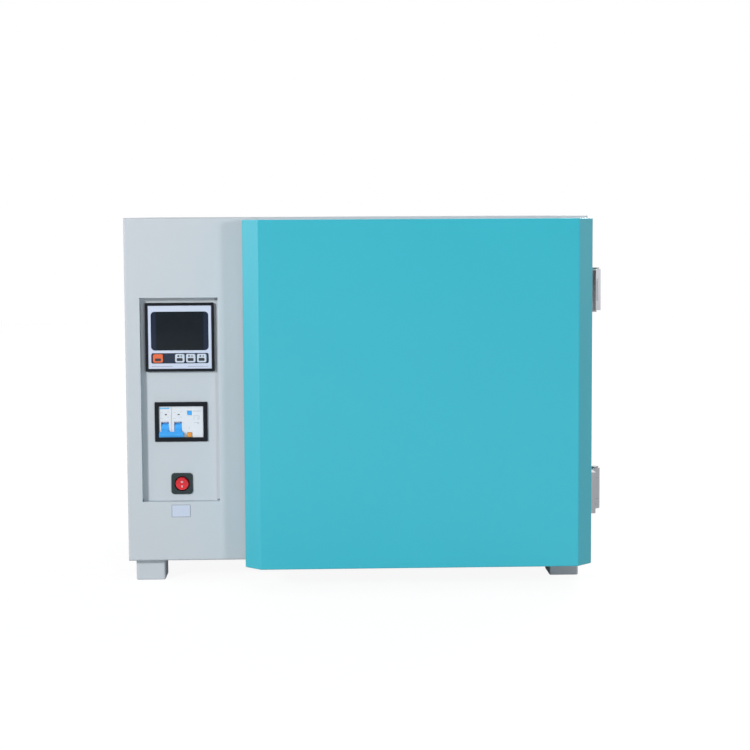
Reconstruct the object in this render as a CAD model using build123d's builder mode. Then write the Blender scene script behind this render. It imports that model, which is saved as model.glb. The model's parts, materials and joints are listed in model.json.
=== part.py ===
"""A benchtop forced-air laboratory incubator with an insulated chamber and a side control strip.

Millimetres. +X is to the right of someone facing the door, +Y runs to the back and +Z is up.
The origin is at the bottom centre of the whole object, on the surface that the feet stand on.
"""

import os
from math import cos, radians, sin, tan

from build123d import *

os.makedirs("parts", exist_ok=True)

# Driving dimensions of the cabinet.
cabinet_width = 645.0
cabinet_height = 480.0
cabinet_depth = 430.0
sheet = 1.2
panel_return = 15.0
bend_radius = 2.5
foot_height = 30.0
foot_width = 41.0
foot_depth = 50.0
foot_inset = 9.0
foot_setback = 15.0
foot_wall = 1.5
foot_bend = 3.0
foot_base_bend = 1.0

# Driving dimensions of the control strip and the recess in it.
strip_width = 166.5
strip_tuck = 18.0
partition_inset = 3.5
recess_width = 108.0
recess_height = 285.5
recess_depth = 12.0
recess_left_margin = 21.0
recess_bottom_margin = 83.5
recess_bend = 0.8
instrument_sheet = 1.5
instrument_overlap = 8.0

# Driving dimensions of the door and its seal.
door_thickness = 83.0
door_gap = 8.0
door_side_inset = 3.5
door_end_inset = 3.0
door_chamfer = 21.0
door_bend = 3.0
door_edge_bend = 1.6
door_return = 15.0
inner_sheet = 1.0
inner_rim_inset = 4.0
inner_pan_rise = 5.0
inner_pan_inset = 6.0
inner_pan_corner = 16.0
inner_pan_bend = 3.0
gasket_inset = 8.0
gasket_width = 14.0
gasket_gap = 0.3
gasket_round = 2.5
packing_gap = 0.3

# Driving dimensions of the chamber and the air duct on its left wall.
side_wall = 62.5
end_wall = 65.0
back_wall = 80.0
chamber_corner = 3.0
liner_sheet = 1.0
liner_flange = 14.0
duct_gap = 40.0
duct_front_margin = 12.0
duct_end_margin = 16.0
duct_slot_length = 44.0
duct_slot_height = 6.0
duct_slot_end = 24.0
duct_slot_rows = 10
duct_slot_edge = 40.0
intake_slots = 16
intake_slot_length = 28.0
intake_slot_width = 5.0
intake_radius = 34.0
intake_eye_radius = 9.0

# Shelves and the angle strips that they rest on.
shelf_frame_wire = 6.0
shelf_wire = 3.2
shelf_bars = 13
shelf_corner = 12.0
shelf_side_gap = 2.0
shelf_depth_gap = 22.0
runner_count = 5
runner_floor_gap = 60.0
runner_roof_gap = 65.0
runner_reach = 12.0
runner_drop = 12.0
runner_sheet = 1.5
runner_margin = 24.0

# Fan, motor and heaters.
impeller_radius = 58.0
impeller_width = 24.0
impeller_plate = 1.5
impeller_blades = 12
impeller_eye = 36.0
blade_sheet = 1.2
blade_inner_radius = 30.0
blade_sweep = 34.0
impeller_wall_gap = 6.0
hub_radius = 11.0
shaft_radius = 4.0
shaft_clearance = 0.05
shaft_hole_gap = 3.0
motor_radius = 37.0
motor_length = 62.0
motor_boss_radius = 14.0
motor_boss_length = 6.0
motor_bearing_depth = 34.0
motor_standoff = 26.0
motor_round = 4.0
bracket_sheet = 2.0
bracket_half = 44.0
bracket_foot = 12.0
heater_radius = 4.0
heater_bend = 13.0
heater_leg_gap = 32.0
heater_offset = 76.0
heater_end_gap = 45.0
heater_wall_gap = 17.0
heater_hole_gap = 1.0
heater_tail = 18.0
heater_collar_radius = 8.0
heater_collar_length = 6.0

# Temperature probe.
probe_radius = 2.5
probe_reach = 26.0
probe_hole_gap = 0.5
probe_nut_flats = 14.0
probe_nut_length = 10.0
probe_setback = 25.0
probe_tip_round = 2.3

# Exhaust duct with its damper, and the cable gland, both on the back.
duct_radius = 20.0
duct_wall = 1.5
duct_reach = 50.0
spigot_length = 26.0
spigot_step = 1.0
duct_drop = 55.0
duct_hole_gap = 0.3
duct_collar_radius = 31.0
duct_collar = 2.0
damper_gap = 0.4
damper_sheet = 1.5
damper_setback = 15.0
spindle_radius = 2.5
spindle_clearance = 0.05
knob_radius = 11.0
knob_length = 13.0
knob_gap = 4.0
knob_flutes = 10
knob_flute_radius = 1.6
gland_left_margin = 60.0
gland_height = 45.0
gland_bore_radius = 5.2
gland_neck_radius = 10.0
gland_hole_gap = 0.3
gland_nut_flats = 27.0
gland_nut_length = 9.0
gland_dome_radius = 11.5
gland_dome_length = 13.0
gland_lock_length = 5.0

# Ventilation slots in the side cover and the back sheet.
vent_slot_length = 56.0
vent_slot_width = 5.0
vent_slot_pitch = 13.0
vent_slot_rows = 9
vent_side_margin = 92.0
vent_drop = 110.0

# Hinges.
hinge_height = 57.0
hinge_spacing = 279.0
hinge_drop = 2.3
hinge_barrel_radius = 8.5
hinge_side_gap = 1.0
hinge_pin_radius = 4.0
hinge_press_gap = 0.01
hinge_run_gap = 0.06
hinge_knuckle_gap = 0.35
hinge_middle_share = 30.0
hinge_door_leaf = 8.5
hinge_cabinet_leaf = 6.0
hinge_leaf_depth = 40.0
hinge_door_setback = 10.0
hinge_cabinet_setback = 10.0
hinge_door_web = 4.0
hinge_cabinet_web = 2.0
hinge_leaf_bend = 2.0
hinge_head_radius = 6.5
hinge_head = 2.0

# Magnetic catches.
magnet_width = 14.0
magnet_height = 60.0
magnet_air_gap = 0.5
magnet_spacing = 250.0
magnet_left_margin = 1.0
strike_sheet = 0.8
strike_margin = 2.0

# Temperature controller.
device_offset = 0.4
controller_size = 96.0
controller_drop = 55.0
controller_proud = 6.0
controller_border = 3.8
controller_body = 91.0
controller_depth = 72.0
controller_hole_gap = 0.5
controller_corner = 1.5
controller_edge = 0.75
face_sheet = 1.6
face_sink = 0.8
window_width = 80.2
window_height = 54.2
window_rise = 8.7
window_corner = 5.5
window_sink = 0.3
keypad_width = 80.0
keypad_height = 14.4
keypad_drop = 29.4
keypad_corner = 2.5
keypad_sink = 0.3
fit_gap = 0.15
key_height = 12.0
key_wide = 14.0
key_narrow = 13.2
key_proud = 1.1
key_travel = 0.8
key_gap = 0.35
key_length = 4.6
key_corner = 2.4
key_edge = 0.35
orange_key_place = -30.6
white_key_places = (-0.2, 15.0, 30.2)
clamp_width = 12.0
clamp_height = 8.0
clamp_length = 42.0

# Circuit breaker with its leakage module, behind a trim frame.
breaker_offset = 0.7
pole_width = 18.0
pole_count = 2
module_width = 27.0
nose_height = 45.0
nose_length = 17.0
nose_proud = 1.0
breaker_body_height = 81.0
breaker_body_depth = 44.5
nose_gap = 0.4
frame_border = 6.0
frame_overlap = 0.6
frame_nose_gap = 0.3
frame_proud = 3.0
frame_lip = 1.0
frame_sleeve = 7.0
frame_hole_gap = 0.3
frame_corner = 1.0
frame_edge = 0.8
lever_axis_depth = 6.5
lever_axis_drop = 8.4
lever_radius = 14.6
lever_angle = 38.0
lever_hub_radius = 5.8
lever_tab_width = 10.0
lever_tab_thickness = 5.0
lever_bar_overhang = 1.0
lever_bar_length = 7.0
lever_bar_thickness = 5.5
lever_gap = 0.4
lever_pin_radius = 1.5
lever_pin_clearance = 0.05
seam_width = 0.6
seam_depth = 0.8
test_button_size = 6.2
test_button_proud = 1.6
test_button_travel = 1.5
test_button_drop = 18.3
test_button_length = 7.0
reset_button_size = 5.5
reset_button_proud = 0.8
reset_button_rise = 12.4
module_button_place = 7.2
button_gap = 0.35
button_corner = 0.6
button_edge = 0.3

# Mounting rail behind the breaker and the bracket that holds it.
rail_height = 35.0
rail_hat_height = 24.0
rail_hat_depth = 7.5
rail_sheet = 1.0
rail_slot_depth = 5.0
rail_slot_gap = 0.3
rail_overhang = 4.0
rail_bracket_height = 22.0

# Power switch.
switch_rise = 24.0
switch_size = 30.0
switch_corner = 4.5
switch_proud = 2.6
switch_edge = 1.0
switch_bore_radius = 10.6
switch_bore_depth = 11.0
switch_barrel_radius = 13.0
switch_barrel_length = 24.0
switch_hole_gap = 0.3
rocker_radius = 9.4
rocker_tilt = 9.0
rocker_axis_depth = 3.0
rocker_front = 4.4
rocker_valley = 2.9
rocker_back = 4.5
rocker_pin_radius = 1.2
rocker_pin_clearance = 0.05
terminal_width = 6.3
terminal_length = 8.0
terminal_sheet = 0.8
terminal_spacing = 10.0

# Parts in the control compartment.
sink_width = 90.0
sink_height = 100.0
sink_base = 6.0
sink_fin = 24.0
sink_fins = 8
sink_fin_sheet = 2.2
sink_rear_margin = 24.0
sink_drop = 94.0
relay_width = 45.0
relay_height = 58.0
relay_depth = 23.0
relay_corner = 2.0
block_length = 72.0
block_width = 22.0
block_height = 16.0
block_barrier_rise = 6.0
block_barriers = 6
block_barrier_sheet = 2.0
block_left_margin = 55.0
block_rear_margin = 95.0

# Places worked out from the driving dimensions.
hinge_axis_proud = hinge_side_gap + hinge_barrel_radius
overall_width = cabinet_width + hinge_axis_proud + hinge_barrel_radius
overall_depth = door_gap + door_thickness + cabinet_depth + duct_reach
cabinet_left = -overall_width / 2
cabinet_right = cabinet_left + cabinet_width
door_front = -overall_depth / 2
door_back = door_front + door_thickness
cabinet_front = door_back + door_gap
cabinet_back = cabinet_front + cabinet_depth
cabinet_bottom = foot_height
cabinet_top = foot_height + cabinet_height
cabinet_middle = (cabinet_bottom + cabinet_top) / 2
door_left = cabinet_left + strip_width
door_right = cabinet_right - door_side_inset
door_bottom = cabinet_bottom + door_end_inset
door_top = cabinet_top - door_end_inset
fascia_right = door_left + strip_tuck
skin_front = cabinet_front + sheet
skin_back = cabinet_back - sheet
wrap_front = cabinet_front + panel_return
wrap_back = cabinet_back - panel_return
partition_left = door_left - partition_inset
partition_right = partition_left + sheet
chamber_left = door_left + side_wall
chamber_right = door_right - side_wall
chamber_middle_x = (chamber_left + chamber_right) / 2
chamber_bottom = cabinet_bottom + end_wall
chamber_top = cabinet_top - end_wall
chamber_back = cabinet_back - back_wall
chamber_middle_y = (cabinet_front + chamber_back) / 2
liner_left = chamber_left - liner_sheet
liner_right = chamber_right + liner_sheet
liner_bottom = chamber_bottom - liner_sheet
liner_top = chamber_top + liner_sheet
liner_back = chamber_back + liner_sheet
duct_face = chamber_left + duct_gap
duct_front = cabinet_front + duct_front_margin
duct_back = chamber_back - duct_front_margin
duct_bottom = chamber_bottom + duct_end_margin
duct_top = chamber_top - duct_end_margin
recess_left = cabinet_left + recess_left_margin
recess_right = recess_left + recess_width
recess_bottom = cabinet_bottom + recess_bottom_margin
recess_top = recess_bottom + recess_height
panel_front = cabinet_front + recess_depth
panel_back = panel_front + instrument_sheet
device_x = (recess_left + recess_right) / 2 + device_offset
controller_z = recess_top - controller_drop
switch_z = recess_bottom + switch_rise
controller_low_z = controller_z - controller_size / 2
switch_high_z = switch_z + switch_size / 2
breaker_z = (controller_low_z + switch_high_z) / 2 + breaker_offset


def front_plane(depth_place):
    """A sketch plane seen from the front: across is X, up is Z, and it faces the viewer."""
    return Plane.XZ.offset(-depth_place)


def side_plane(width_place):
    """A sketch plane seen from the right: across is Y, up is Z, and it faces right."""
    return Plane.YZ.offset(width_place)


def level_plane(height_place):
    """A sketch plane seen from above: across is X, up the page is Y, and it faces up."""
    return Plane.XY.offset(height_place)


def span(low_across, high_across, low_up, high_up, mode=Mode.ADD):
    """A rectangle between two pairs of limits in the sketch's own directions."""
    with Locations(((low_across + high_across) / 2, (low_up + high_up) / 2)):
        Rectangle(high_across - low_across, high_up - low_up, mode=mode)


def round_span(low_across, high_across, low_up, high_up, corner, mode=Mode.ADD):
    """The same rectangle with round corners."""
    with Locations(((low_across + high_across) / 2, (low_up + high_up) / 2)):
        RectangleRounded(high_across - low_across, high_up - low_up, corner, mode=mode)


# Cabinet skin. The control fascia is a tray whose window is folded back to make the recess.
with BuildPart() as control_fascia:
    with BuildSketch(front_plane(cabinet_front)):
        span(cabinet_left, fascia_right, cabinet_bottom, cabinet_top)
    extrude(amount=-panel_return)
    front_face = control_fascia.faces().sort_by(Axis.Y)[0]
    folded_edges = front_face.edges().sort_by(Axis.X)[:-1]
    fillet(folded_edges, radius=bend_radius)
    open_faces = [control_fascia.faces().sort_by(Axis.Y)[-1], control_fascia.faces().sort_by(Axis.X)[-1]]
    offset(amount=-sheet, openings=open_faces)
    with BuildSketch(front_plane(skin_front)):
        span(recess_left - sheet, recess_right + sheet, recess_bottom - sheet, recess_top + sheet)
    extrude(amount=-(recess_depth - sheet))
    with BuildSketch(front_plane(cabinet_front)):
        span(recess_left, recess_right, recess_bottom, recess_top)
    extrude(amount=-recess_depth, mode=Mode.SUBTRACT)
    front_face = control_fascia.faces().sort_by(Axis.Y)[0]
    fillet(front_face.inner_wires()[0].edges(), radius=recess_bend)
control_fascia.part.label = "control_fascia"
export_step(control_fascia.part, "parts/control_fascia.step")

# The mouth frame is the matching tray round the chamber's mouth, behind the door.
with BuildPart() as mouth_frame:
    with BuildSketch(front_plane(cabinet_front)):
        span(fascia_right, cabinet_right, cabinet_bottom, cabinet_top)
    extrude(amount=-panel_return)
    front_face = mouth_frame.faces().sort_by(Axis.Y)[0]
    folded_edges = front_face.edges().sort_by(Axis.X)[1:]
    fillet(folded_edges, radius=bend_radius)
    open_faces = [mouth_frame.faces().sort_by(Axis.Y)[-1], mouth_frame.faces().sort_by(Axis.X)[0]]
    offset(amount=-sheet, openings=open_faces)
    with BuildSketch(front_plane(cabinet_front)):
        round_span(chamber_left, chamber_right, chamber_bottom, chamber_top, chamber_corner)
    extrude(amount=-sheet, mode=Mode.SUBTRACT)
mouth_frame.part.label = "mouth_frame"
export_step(mouth_frame.part, "parts/mouth_frame.step")

with BuildPart() as top_panel:
    with BuildSketch(front_plane(wrap_front)):
        span(cabinet_left, cabinet_right, cabinet_top - panel_return, cabinet_top)
    extrude(amount=-(wrap_back - wrap_front))
    top_edges = top_panel.edges().filter_by(Axis.Y).group_by(Axis.Z)[-1]
    fillet(top_edges, radius=bend_radius)
    open_faces = [
        top_panel.faces().sort_by(Axis.Z)[0],
        top_panel.faces().sort_by(Axis.Y)[0],
        top_panel.faces().sort_by(Axis.Y)[-1],
    ]
    offset(amount=-sheet, openings=open_faces)
top_panel.part.label = "top_panel"
export_step(top_panel.part, "parts/top_panel.step")

with BuildPart() as right_side_panel:
    with BuildSketch(side_plane(cabinet_right - sheet)):
        span(wrap_front, wrap_back, cabinet_bottom, cabinet_top - panel_return)
    extrude(amount=sheet)
right_side_panel.part.label = "right_side_panel"
export_step(right_side_panel.part, "parts/right_side_panel.step")

# The left cover closes the control compartment and has two rows of cooling slots.
with BuildPart() as left_side_cover:
    with BuildSketch(side_plane(cabinet_left)):
        span(wrap_front, wrap_back, cabinet_bottom, cabinet_top - panel_return)
        with Locations(
            (wrap_back - vent_side_margin, cabinet_top - vent_drop),
            (wrap_back - vent_side_margin, cabinet_bottom + vent_drop),
        ):
            with GridLocations(0, vent_slot_pitch, 1, vent_slot_rows):
                Rectangle(vent_slot_length, vent_slot_width, mode=Mode.SUBTRACT)
    extrude(amount=sheet)
left_side_cover.part.label = "left_side_cover"
export_step(left_side_cover.part, "parts/left_side_cover.step")

vent_duct_z = chamber_top - duct_drop
gland_x = cabinet_left + gland_left_margin
gland_z = cabinet_bottom + gland_height
with BuildPart() as back_panel:
    with BuildSketch(front_plane(wrap_back)):
        span(cabinet_left, cabinet_right, cabinet_bottom, cabinet_top)
    extrude(amount=-panel_return)
    fillet(back_panel.faces().sort_by(Axis.Y)[-1].edges(), radius=bend_radius)
    offset(amount=-sheet, openings=back_panel.faces().sort_by(Axis.Y)[0])
    with BuildSketch(front_plane(skin_back)):
        with Locations((chamber_middle_x, vent_duct_z)):
            Circle(duct_radius + duct_hole_gap)
        with Locations((gland_x, gland_z)):
            Circle(gland_neck_radius + gland_hole_gap)
        with Locations(((cabinet_left + partition_left) / 2, cabinet_top - vent_drop)):
            with GridLocations(0, vent_slot_pitch, 1, vent_slot_rows):
                Rectangle(vent_slot_length, vent_slot_width)
    extrude(amount=-sheet, mode=Mode.SUBTRACT)
back_panel.part.label = "back_panel"
export_step(back_panel.part, "parts/back_panel.step")

with BuildPart() as base_pan:
    with BuildSketch(level_plane(cabinet_bottom)):
        span(cabinet_left + sheet, cabinet_right - sheet, wrap_front, wrap_back)
    extrude(amount=sheet)
base_pan.part.label = "base_pan"
export_step(base_pan.part, "parts/base_pan.step")

# Each foot is a folded sheet box, closed below and open to the base above.
foot_lefts = {"left": cabinet_left + foot_inset, "right": cabinet_right - foot_inset - foot_width}
foot_fronts = {"front": cabinet_front + foot_setback, "rear": cabinet_back - foot_setback - foot_depth}
for row, foot_front in foot_fronts.items():
    for side, foot_left in foot_lefts.items():
        with BuildPart() as foot:
            with BuildSketch(level_plane(0)):
                foot_right = foot_left + foot_width
                foot_back = foot_front + foot_depth
                round_span(foot_left, foot_right, foot_front, foot_back, foot_bend)
            extrude(amount=foot_height)
            chamfer(foot.faces().sort_by(Axis.Z)[0].edges(), length=foot_base_bend)
            offset(amount=-foot_wall, openings=foot.faces().sort_by(Axis.Z)[-1])
        foot.part.label = f"foot_{row}_{side}"
        export_step(foot.part, f"parts/foot_{row}_{side}.step")

# The instrument panel closes the back of the recess and carries the three devices.
nose_width = pole_count * pole_width + module_width
frame_inner_width = nose_width - 2 * frame_overlap
frame_inner_height = nose_height - 2 * frame_overlap
sleeve_width = nose_width + 2 * nose_gap + 2 * frame_lip
sleeve_height = nose_height + 2 * nose_gap + 2 * frame_lip
with BuildPart() as instrument_panel:
    with BuildSketch(front_plane(panel_front)):
        span(
            recess_left - instrument_overlap,
            recess_right + instrument_overlap,
            recess_bottom - instrument_overlap,
            recess_top + instrument_overlap,
        )
        with Locations((device_x, controller_z)):
            controller_hole = controller_body + 2 * controller_hole_gap
            Rectangle(controller_hole, controller_hole, mode=Mode.SUBTRACT)
        with Locations((device_x, breaker_z)):
            Rectangle(
                sleeve_width + 2 * frame_hole_gap,
                sleeve_height + 2 * frame_hole_gap,
                mode=Mode.SUBTRACT,
            )
        with Locations((device_x, switch_z)):
            Circle(switch_barrel_radius + switch_hole_gap, mode=Mode.SUBTRACT)
    extrude(amount=-instrument_sheet)
instrument_panel.part.label = "instrument_panel"
export_step(instrument_panel.part, "parts/instrument_panel.step")

# Chamber: the liner is a deep-drawn stainless box with a flange behind the mouth frame.
fan_y = chamber_middle_y
fan_z = cabinet_middle
shaft_hole_radius = shaft_radius + shaft_hole_gap
heater_start_y = duct_front + heater_end_gap
heater_levels = [
    fan_z + offset_up
    for middle in (heater_offset + heater_leg_gap / 2, -heater_offset - heater_leg_gap / 2)
    for offset_up in (middle - heater_leg_gap / 2, middle + heater_leg_gap / 2)
]
probe_y = heater_start_y + probe_setback
probe_z = fan_z + heater_offset + heater_leg_gap / 2


def wall_holes():
    """The holes that shaft, heater legs and probe share in every wall left of the chamber."""
    with Locations((fan_y, fan_z)):
        Circle(shaft_hole_radius)
    with Locations([(heater_start_y, level) for level in heater_levels]):
        Circle(heater_radius + heater_hole_gap)
    with Locations((probe_y, probe_z)):
        Circle(probe_radius + probe_hole_gap)


with BuildPart() as chamber_liner:
    with BuildSketch(front_plane(skin_front)):
        round_span(liner_left, liner_right, liner_bottom, liner_top, chamber_corner + liner_sheet)
    extrude(amount=-(liner_back - skin_front))
    offset(amount=-liner_sheet, openings=chamber_liner.faces().sort_by(Axis.Y)[0])
    with BuildSketch(front_plane(skin_front)):
        round_span(
            chamber_left - liner_flange,
            chamber_right + liner_flange,
            chamber_bottom - liner_flange,
            chamber_top + liner_flange,
            chamber_corner + liner_flange,
        )
        round_span(
            chamber_left, chamber_right, chamber_bottom, chamber_top, chamber_corner, mode=Mode.SUBTRACT
        )
    extrude(amount=-liner_sheet)
    with BuildSketch(side_plane(liner_left)):
        wall_holes()
    extrude(amount=liner_sheet, mode=Mode.SUBTRACT)
    with BuildSketch(front_plane(chamber_back)):
        with Locations((chamber_middle_x, vent_duct_z)):
            Circle(duct_radius + duct_hole_gap)
    extrude(amount=-liner_sheet, mode=Mode.SUBTRACT)
chamber_liner.part.label = "chamber_liner"
export_step(chamber_liner.part, "parts/chamber_liner.step")

with BuildPart() as partition_wall:
    with BuildSketch(side_plane(partition_left)) as partition_outline:
        span(skin_front, skin_back, cabinet_bottom + sheet, cabinet_top - sheet)
        chamfer(partition_outline.vertices(), length=bend_radius)
    extrude(amount=sheet)
    with BuildSketch(side_plane(partition_left)):
        wall_holes()
    extrude(amount=sheet, mode=Mode.SUBTRACT)
partition_wall.part.label = "partition_wall"
export_step(partition_wall.part, "parts/partition_wall.step")

# Mineral wool fills the space between the liner and the skin: floor, roof, two sides and back.
bend_inside = bend_radius - sheet
wool_front = skin_front + bend_inside + packing_gap
wool_left = partition_right + packing_gap
wool_right = cabinet_right - sheet - bend_inside / 2
wool_bottom = cabinet_bottom + sheet
wool_top = cabinet_top - sheet - bend_inside / 2
wool_back = skin_back - bend_inside - packing_gap
with BuildPart() as insulation_slabs:
    with BuildSketch(level_plane(wool_bottom)):
        span(wool_left, wool_right, wool_front, wool_back)
    extrude(amount=liner_bottom - wool_bottom)
    with BuildSketch(level_plane(liner_top)):
        span(wool_left, wool_right, wool_front, wool_back)
    extrude(amount=wool_top - liner_top)
    with BuildSketch(side_plane(liner_right)):
        span(wool_front, liner_back, liner_bottom + packing_gap, liner_top - packing_gap)
    extrude(amount=wool_right - liner_right)
    with BuildSketch(side_plane(wool_left)):
        span(wool_front, liner_back, liner_bottom + packing_gap, liner_top - packing_gap)
    extrude(amount=liner_left - wool_left)
    with BuildSketch(side_plane(wool_left)):
        wall_holes()
    extrude(amount=liner_left - wool_left, mode=Mode.SUBTRACT)
    with BuildSketch(front_plane(liner_back + packing_gap)):
        span(wool_left, wool_right, liner_bottom + packing_gap, liner_top - packing_gap)
        with Locations((chamber_middle_x, vent_duct_z)):
            Circle(duct_radius + duct_hole_gap, mode=Mode.SUBTRACT)
    extrude(amount=-(wool_back - liner_back - packing_gap))
insulation_slabs.part.label = "insulation_slabs"
export_step(insulation_slabs.part, "parts/insulation_slabs.step")

# The seal is a soft frame on the mouth frame, just clear of the closed door.
gasket_height = door_gap - inner_sheet - gasket_gap
with BuildPart() as door_gasket:
    with BuildSketch(front_plane(cabinet_front)):
        round_span(
            chamber_left - gasket_inset - gasket_width,
            chamber_right + gasket_inset + gasket_width,
            chamber_bottom - gasket_inset - gasket_width,
            chamber_top + gasket_inset + gasket_width,
            chamber_corner + gasket_inset + gasket_width,
        )
        round_span(
            chamber_left - gasket_inset,
            chamber_right + gasket_inset,
            chamber_bottom - gasket_inset,
            chamber_top + gasket_inset,
            chamber_corner + gasket_inset,
            mode=Mode.SUBTRACT,
        )
    extrude(amount=gasket_height)
    chamfer(door_gasket.faces().sort_by(Axis.Y)[0].edges(), length=gasket_round)
door_gasket.part.label = "door_gasket"
export_step(door_gasket.part, "parts/door_gasket.step")

# The duct panel is a tray over the left wall, with an intake in front of the fan.
with BuildPart() as duct_panel:
    with BuildSketch(side_plane(chamber_left)):
        span(duct_front, duct_back, duct_bottom, duct_top)
    extrude(amount=duct_gap)
    fillet(duct_panel.faces().sort_by(Axis.X)[-1].edges(), radius=bend_radius)
    offset(amount=-liner_sheet, openings=duct_panel.faces().sort_by(Axis.X)[0])
    with BuildSketch(side_plane(duct_face - liner_sheet)):
        with Locations((fan_y, fan_z)):
            with PolarLocations(intake_radius, intake_slots):
                Rectangle(intake_slot_length, intake_slot_width)
            Circle(intake_eye_radius)
        slot_places = (duct_front + duct_slot_edge, duct_back - duct_slot_edge)
        duct_slot_pitch = (duct_top - duct_bottom - 2 * duct_slot_end) / (duct_slot_rows - 1)
        with Locations([(place, fan_z) for place in slot_places]):
            with GridLocations(0, duct_slot_pitch, 1, duct_slot_rows):
                Rectangle(duct_slot_length, duct_slot_height)
        with Locations((probe_y, probe_z)):
            Circle(probe_radius + probe_hole_gap)
    extrude(amount=liner_sheet, mode=Mode.SUBTRACT)
duct_panel.part.label = "duct_panel"
export_step(duct_panel.part, "parts/duct_panel.step")

# Angle strips on the duct panel and on the right wall carry the shelves.
runner_front = cabinet_front + runner_margin
runner_back = chamber_back - runner_margin
runner_span = chamber_top - chamber_bottom - runner_floor_gap - runner_roof_gap
runner_pitch = runner_span / (runner_count - 1)
runner_heights = [runner_floor_gap + runner_pitch * number for number in range(runner_count)]
with BuildPart() as shelf_runners:
    for wall, inward in ((duct_face, 1), (chamber_right, -1)):
        for height in runner_heights:
            with BuildSketch(front_plane(runner_front)):
                with BuildLine():
                    Polyline(
                        (wall, chamber_bottom + height - runner_drop),
                        (wall, chamber_bottom + height),
                        (wall + inward * runner_reach, chamber_bottom + height),
                        (wall + inward * runner_reach, chamber_bottom + height - runner_sheet),
                        (wall + inward * runner_sheet, chamber_bottom + height - runner_sheet),
                        (wall + inward * runner_sheet, chamber_bottom + height - runner_drop),
                        close=True,
                    )
                make_face()
            extrude(amount=-(runner_back - runner_front))
shelf_runners.part.label = "shelf_runners"
export_step(shelf_runners.part, "parts/shelf_runners.step")

# Each shelf is a round-cornered wire frame with bars welded across its top. The two shelves
# rest on the second and the fourth pair of runners.
shelf_heights = (runner_heights[1], runner_heights[3])
shelf_left = duct_face + shelf_side_gap
shelf_right = chamber_right - shelf_side_gap
shelf_front = cabinet_front + shelf_depth_gap
shelf_back = chamber_back - shelf_depth_gap
bar_pitch = (shelf_right - shelf_left - shelf_frame_wire) / (shelf_bars + 1)
for shelf_name, height in zip(("shelf_lower", "shelf_upper"), shelf_heights):
    frame_z = chamber_bottom + height + shelf_frame_wire / 2
    frame_inset = shelf_frame_wire / 2
    frame_low_x = shelf_left + frame_inset
    frame_high_x = shelf_right - frame_inset
    frame_low_y = shelf_front + frame_inset
    frame_high_y = shelf_back - frame_inset
    shelf_middle_x = (frame_low_x + frame_high_x) / 2
    bar_z = frame_z + shelf_frame_wire / 2 - shelf_wire / 2
    with BuildPart() as shelf:
        with BuildLine() as frame_path:
            FilletPolyline(
                (shelf_middle_x, frame_low_y, frame_z),
                (frame_high_x, frame_low_y, frame_z),
                (frame_high_x, frame_high_y, frame_z),
                (shelf_middle_x, frame_high_y, frame_z),
                radius=shelf_corner,
            )
        with BuildSketch(side_plane(shelf_middle_x)):
            with Locations((frame_low_y, frame_z)):
                Circle(shelf_frame_wire / 2)
        sweep(path=frame_path.wire())
        mirror(about=side_plane(shelf_middle_x))
        with BuildSketch(front_plane(frame_low_y)):
            with Locations((shelf_middle_x, bar_z)):
                with GridLocations(bar_pitch, 0, shelf_bars, 1):
                    Circle(shelf_wire / 2)
        extrude(amount=-(frame_high_y - frame_low_y))
    shelf.part.label = shelf_name
    export_step(shelf.part, f"parts/{shelf_name}.step")

# Fan: a centrifugal wheel with swept blades, its shaft, the motor and the motor's bracket.
impeller_left = chamber_left + impeller_wall_gap
impeller_right = impeller_left + impeller_width
blade_reach = impeller_radius - blade_sheet
blade_tip = (blade_reach * cos(radians(blade_sweep)), blade_reach * sin(radians(blade_sweep)))
with BuildPart() as fan_impeller:
    with BuildSketch(side_plane(impeller_left)):
        with Locations((fan_y, fan_z)):
            Circle(impeller_radius)
            Circle(shaft_radius, mode=Mode.SUBTRACT)
    extrude(amount=impeller_plate)
    with BuildSketch(side_plane(impeller_left + impeller_plate)):
        with Locations((fan_y, fan_z)):
            Circle(hub_radius)
            Circle(shaft_radius, mode=Mode.SUBTRACT)
    extrude(amount=impeller_width - 2 * impeller_plate)
    for number in range(impeller_blades):
        turn = radians(360 * number / impeller_blades)
        blade_plane = Plane(
            origin=(impeller_left + impeller_plate, fan_y, fan_z),
            x_dir=(0, cos(turn), sin(turn)),
            z_dir=(1, 0, 0),
        )
        with BuildSketch(blade_plane):
            with BuildLine():
                RadiusArc((blade_inner_radius, 0), blade_tip, impeller_radius)
            trace(line_width=blade_sheet)
        extrude(amount=impeller_width - 2 * impeller_plate)
    with BuildSketch(side_plane(impeller_right - impeller_plate)):
        with Locations((fan_y, fan_z)):
            Circle(impeller_radius)
            Circle(impeller_eye, mode=Mode.SUBTRACT)
    extrude(amount=impeller_plate)
fan_impeller.part.label = "fan_impeller"
export_step(fan_impeller.part, "parts/fan_impeller.step")

motor_right = partition_left - motor_standoff
motor_left = motor_right - motor_length
with BuildPart() as fan_shaft:
    with BuildSketch(side_plane(motor_right - motor_bearing_depth)):
        with Locations((fan_y, fan_z)):
            Circle(shaft_radius)
    extrude(amount=impeller_right - motor_right + motor_bearing_depth)
fan_shaft.part.label = "fan_shaft"
export_step(fan_shaft.part, "parts/fan_shaft.step")

with BuildPart() as fan_motor:
    with BuildSketch(side_plane(motor_left)):
        with Locations((fan_y, fan_z)):
            Circle(motor_radius)
    extrude(amount=motor_length)
    chamfer(fan_motor.edges().filter_by(GeomType.CIRCLE), length=motor_round)
    with BuildSketch(side_plane(motor_right)):
        with Locations((fan_y, fan_z)):
            Circle(motor_boss_radius)
    extrude(amount=motor_boss_length)
    with BuildSketch(side_plane(motor_right - motor_bearing_depth)):
        with Locations((fan_y, fan_z)):
            Circle(shaft_radius + shaft_clearance)
    extrude(amount=motor_bearing_depth + motor_boss_length, mode=Mode.SUBTRACT)
fan_motor.part.label = "fan_motor"
export_step(fan_motor.part, "parts/fan_motor.step")

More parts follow.
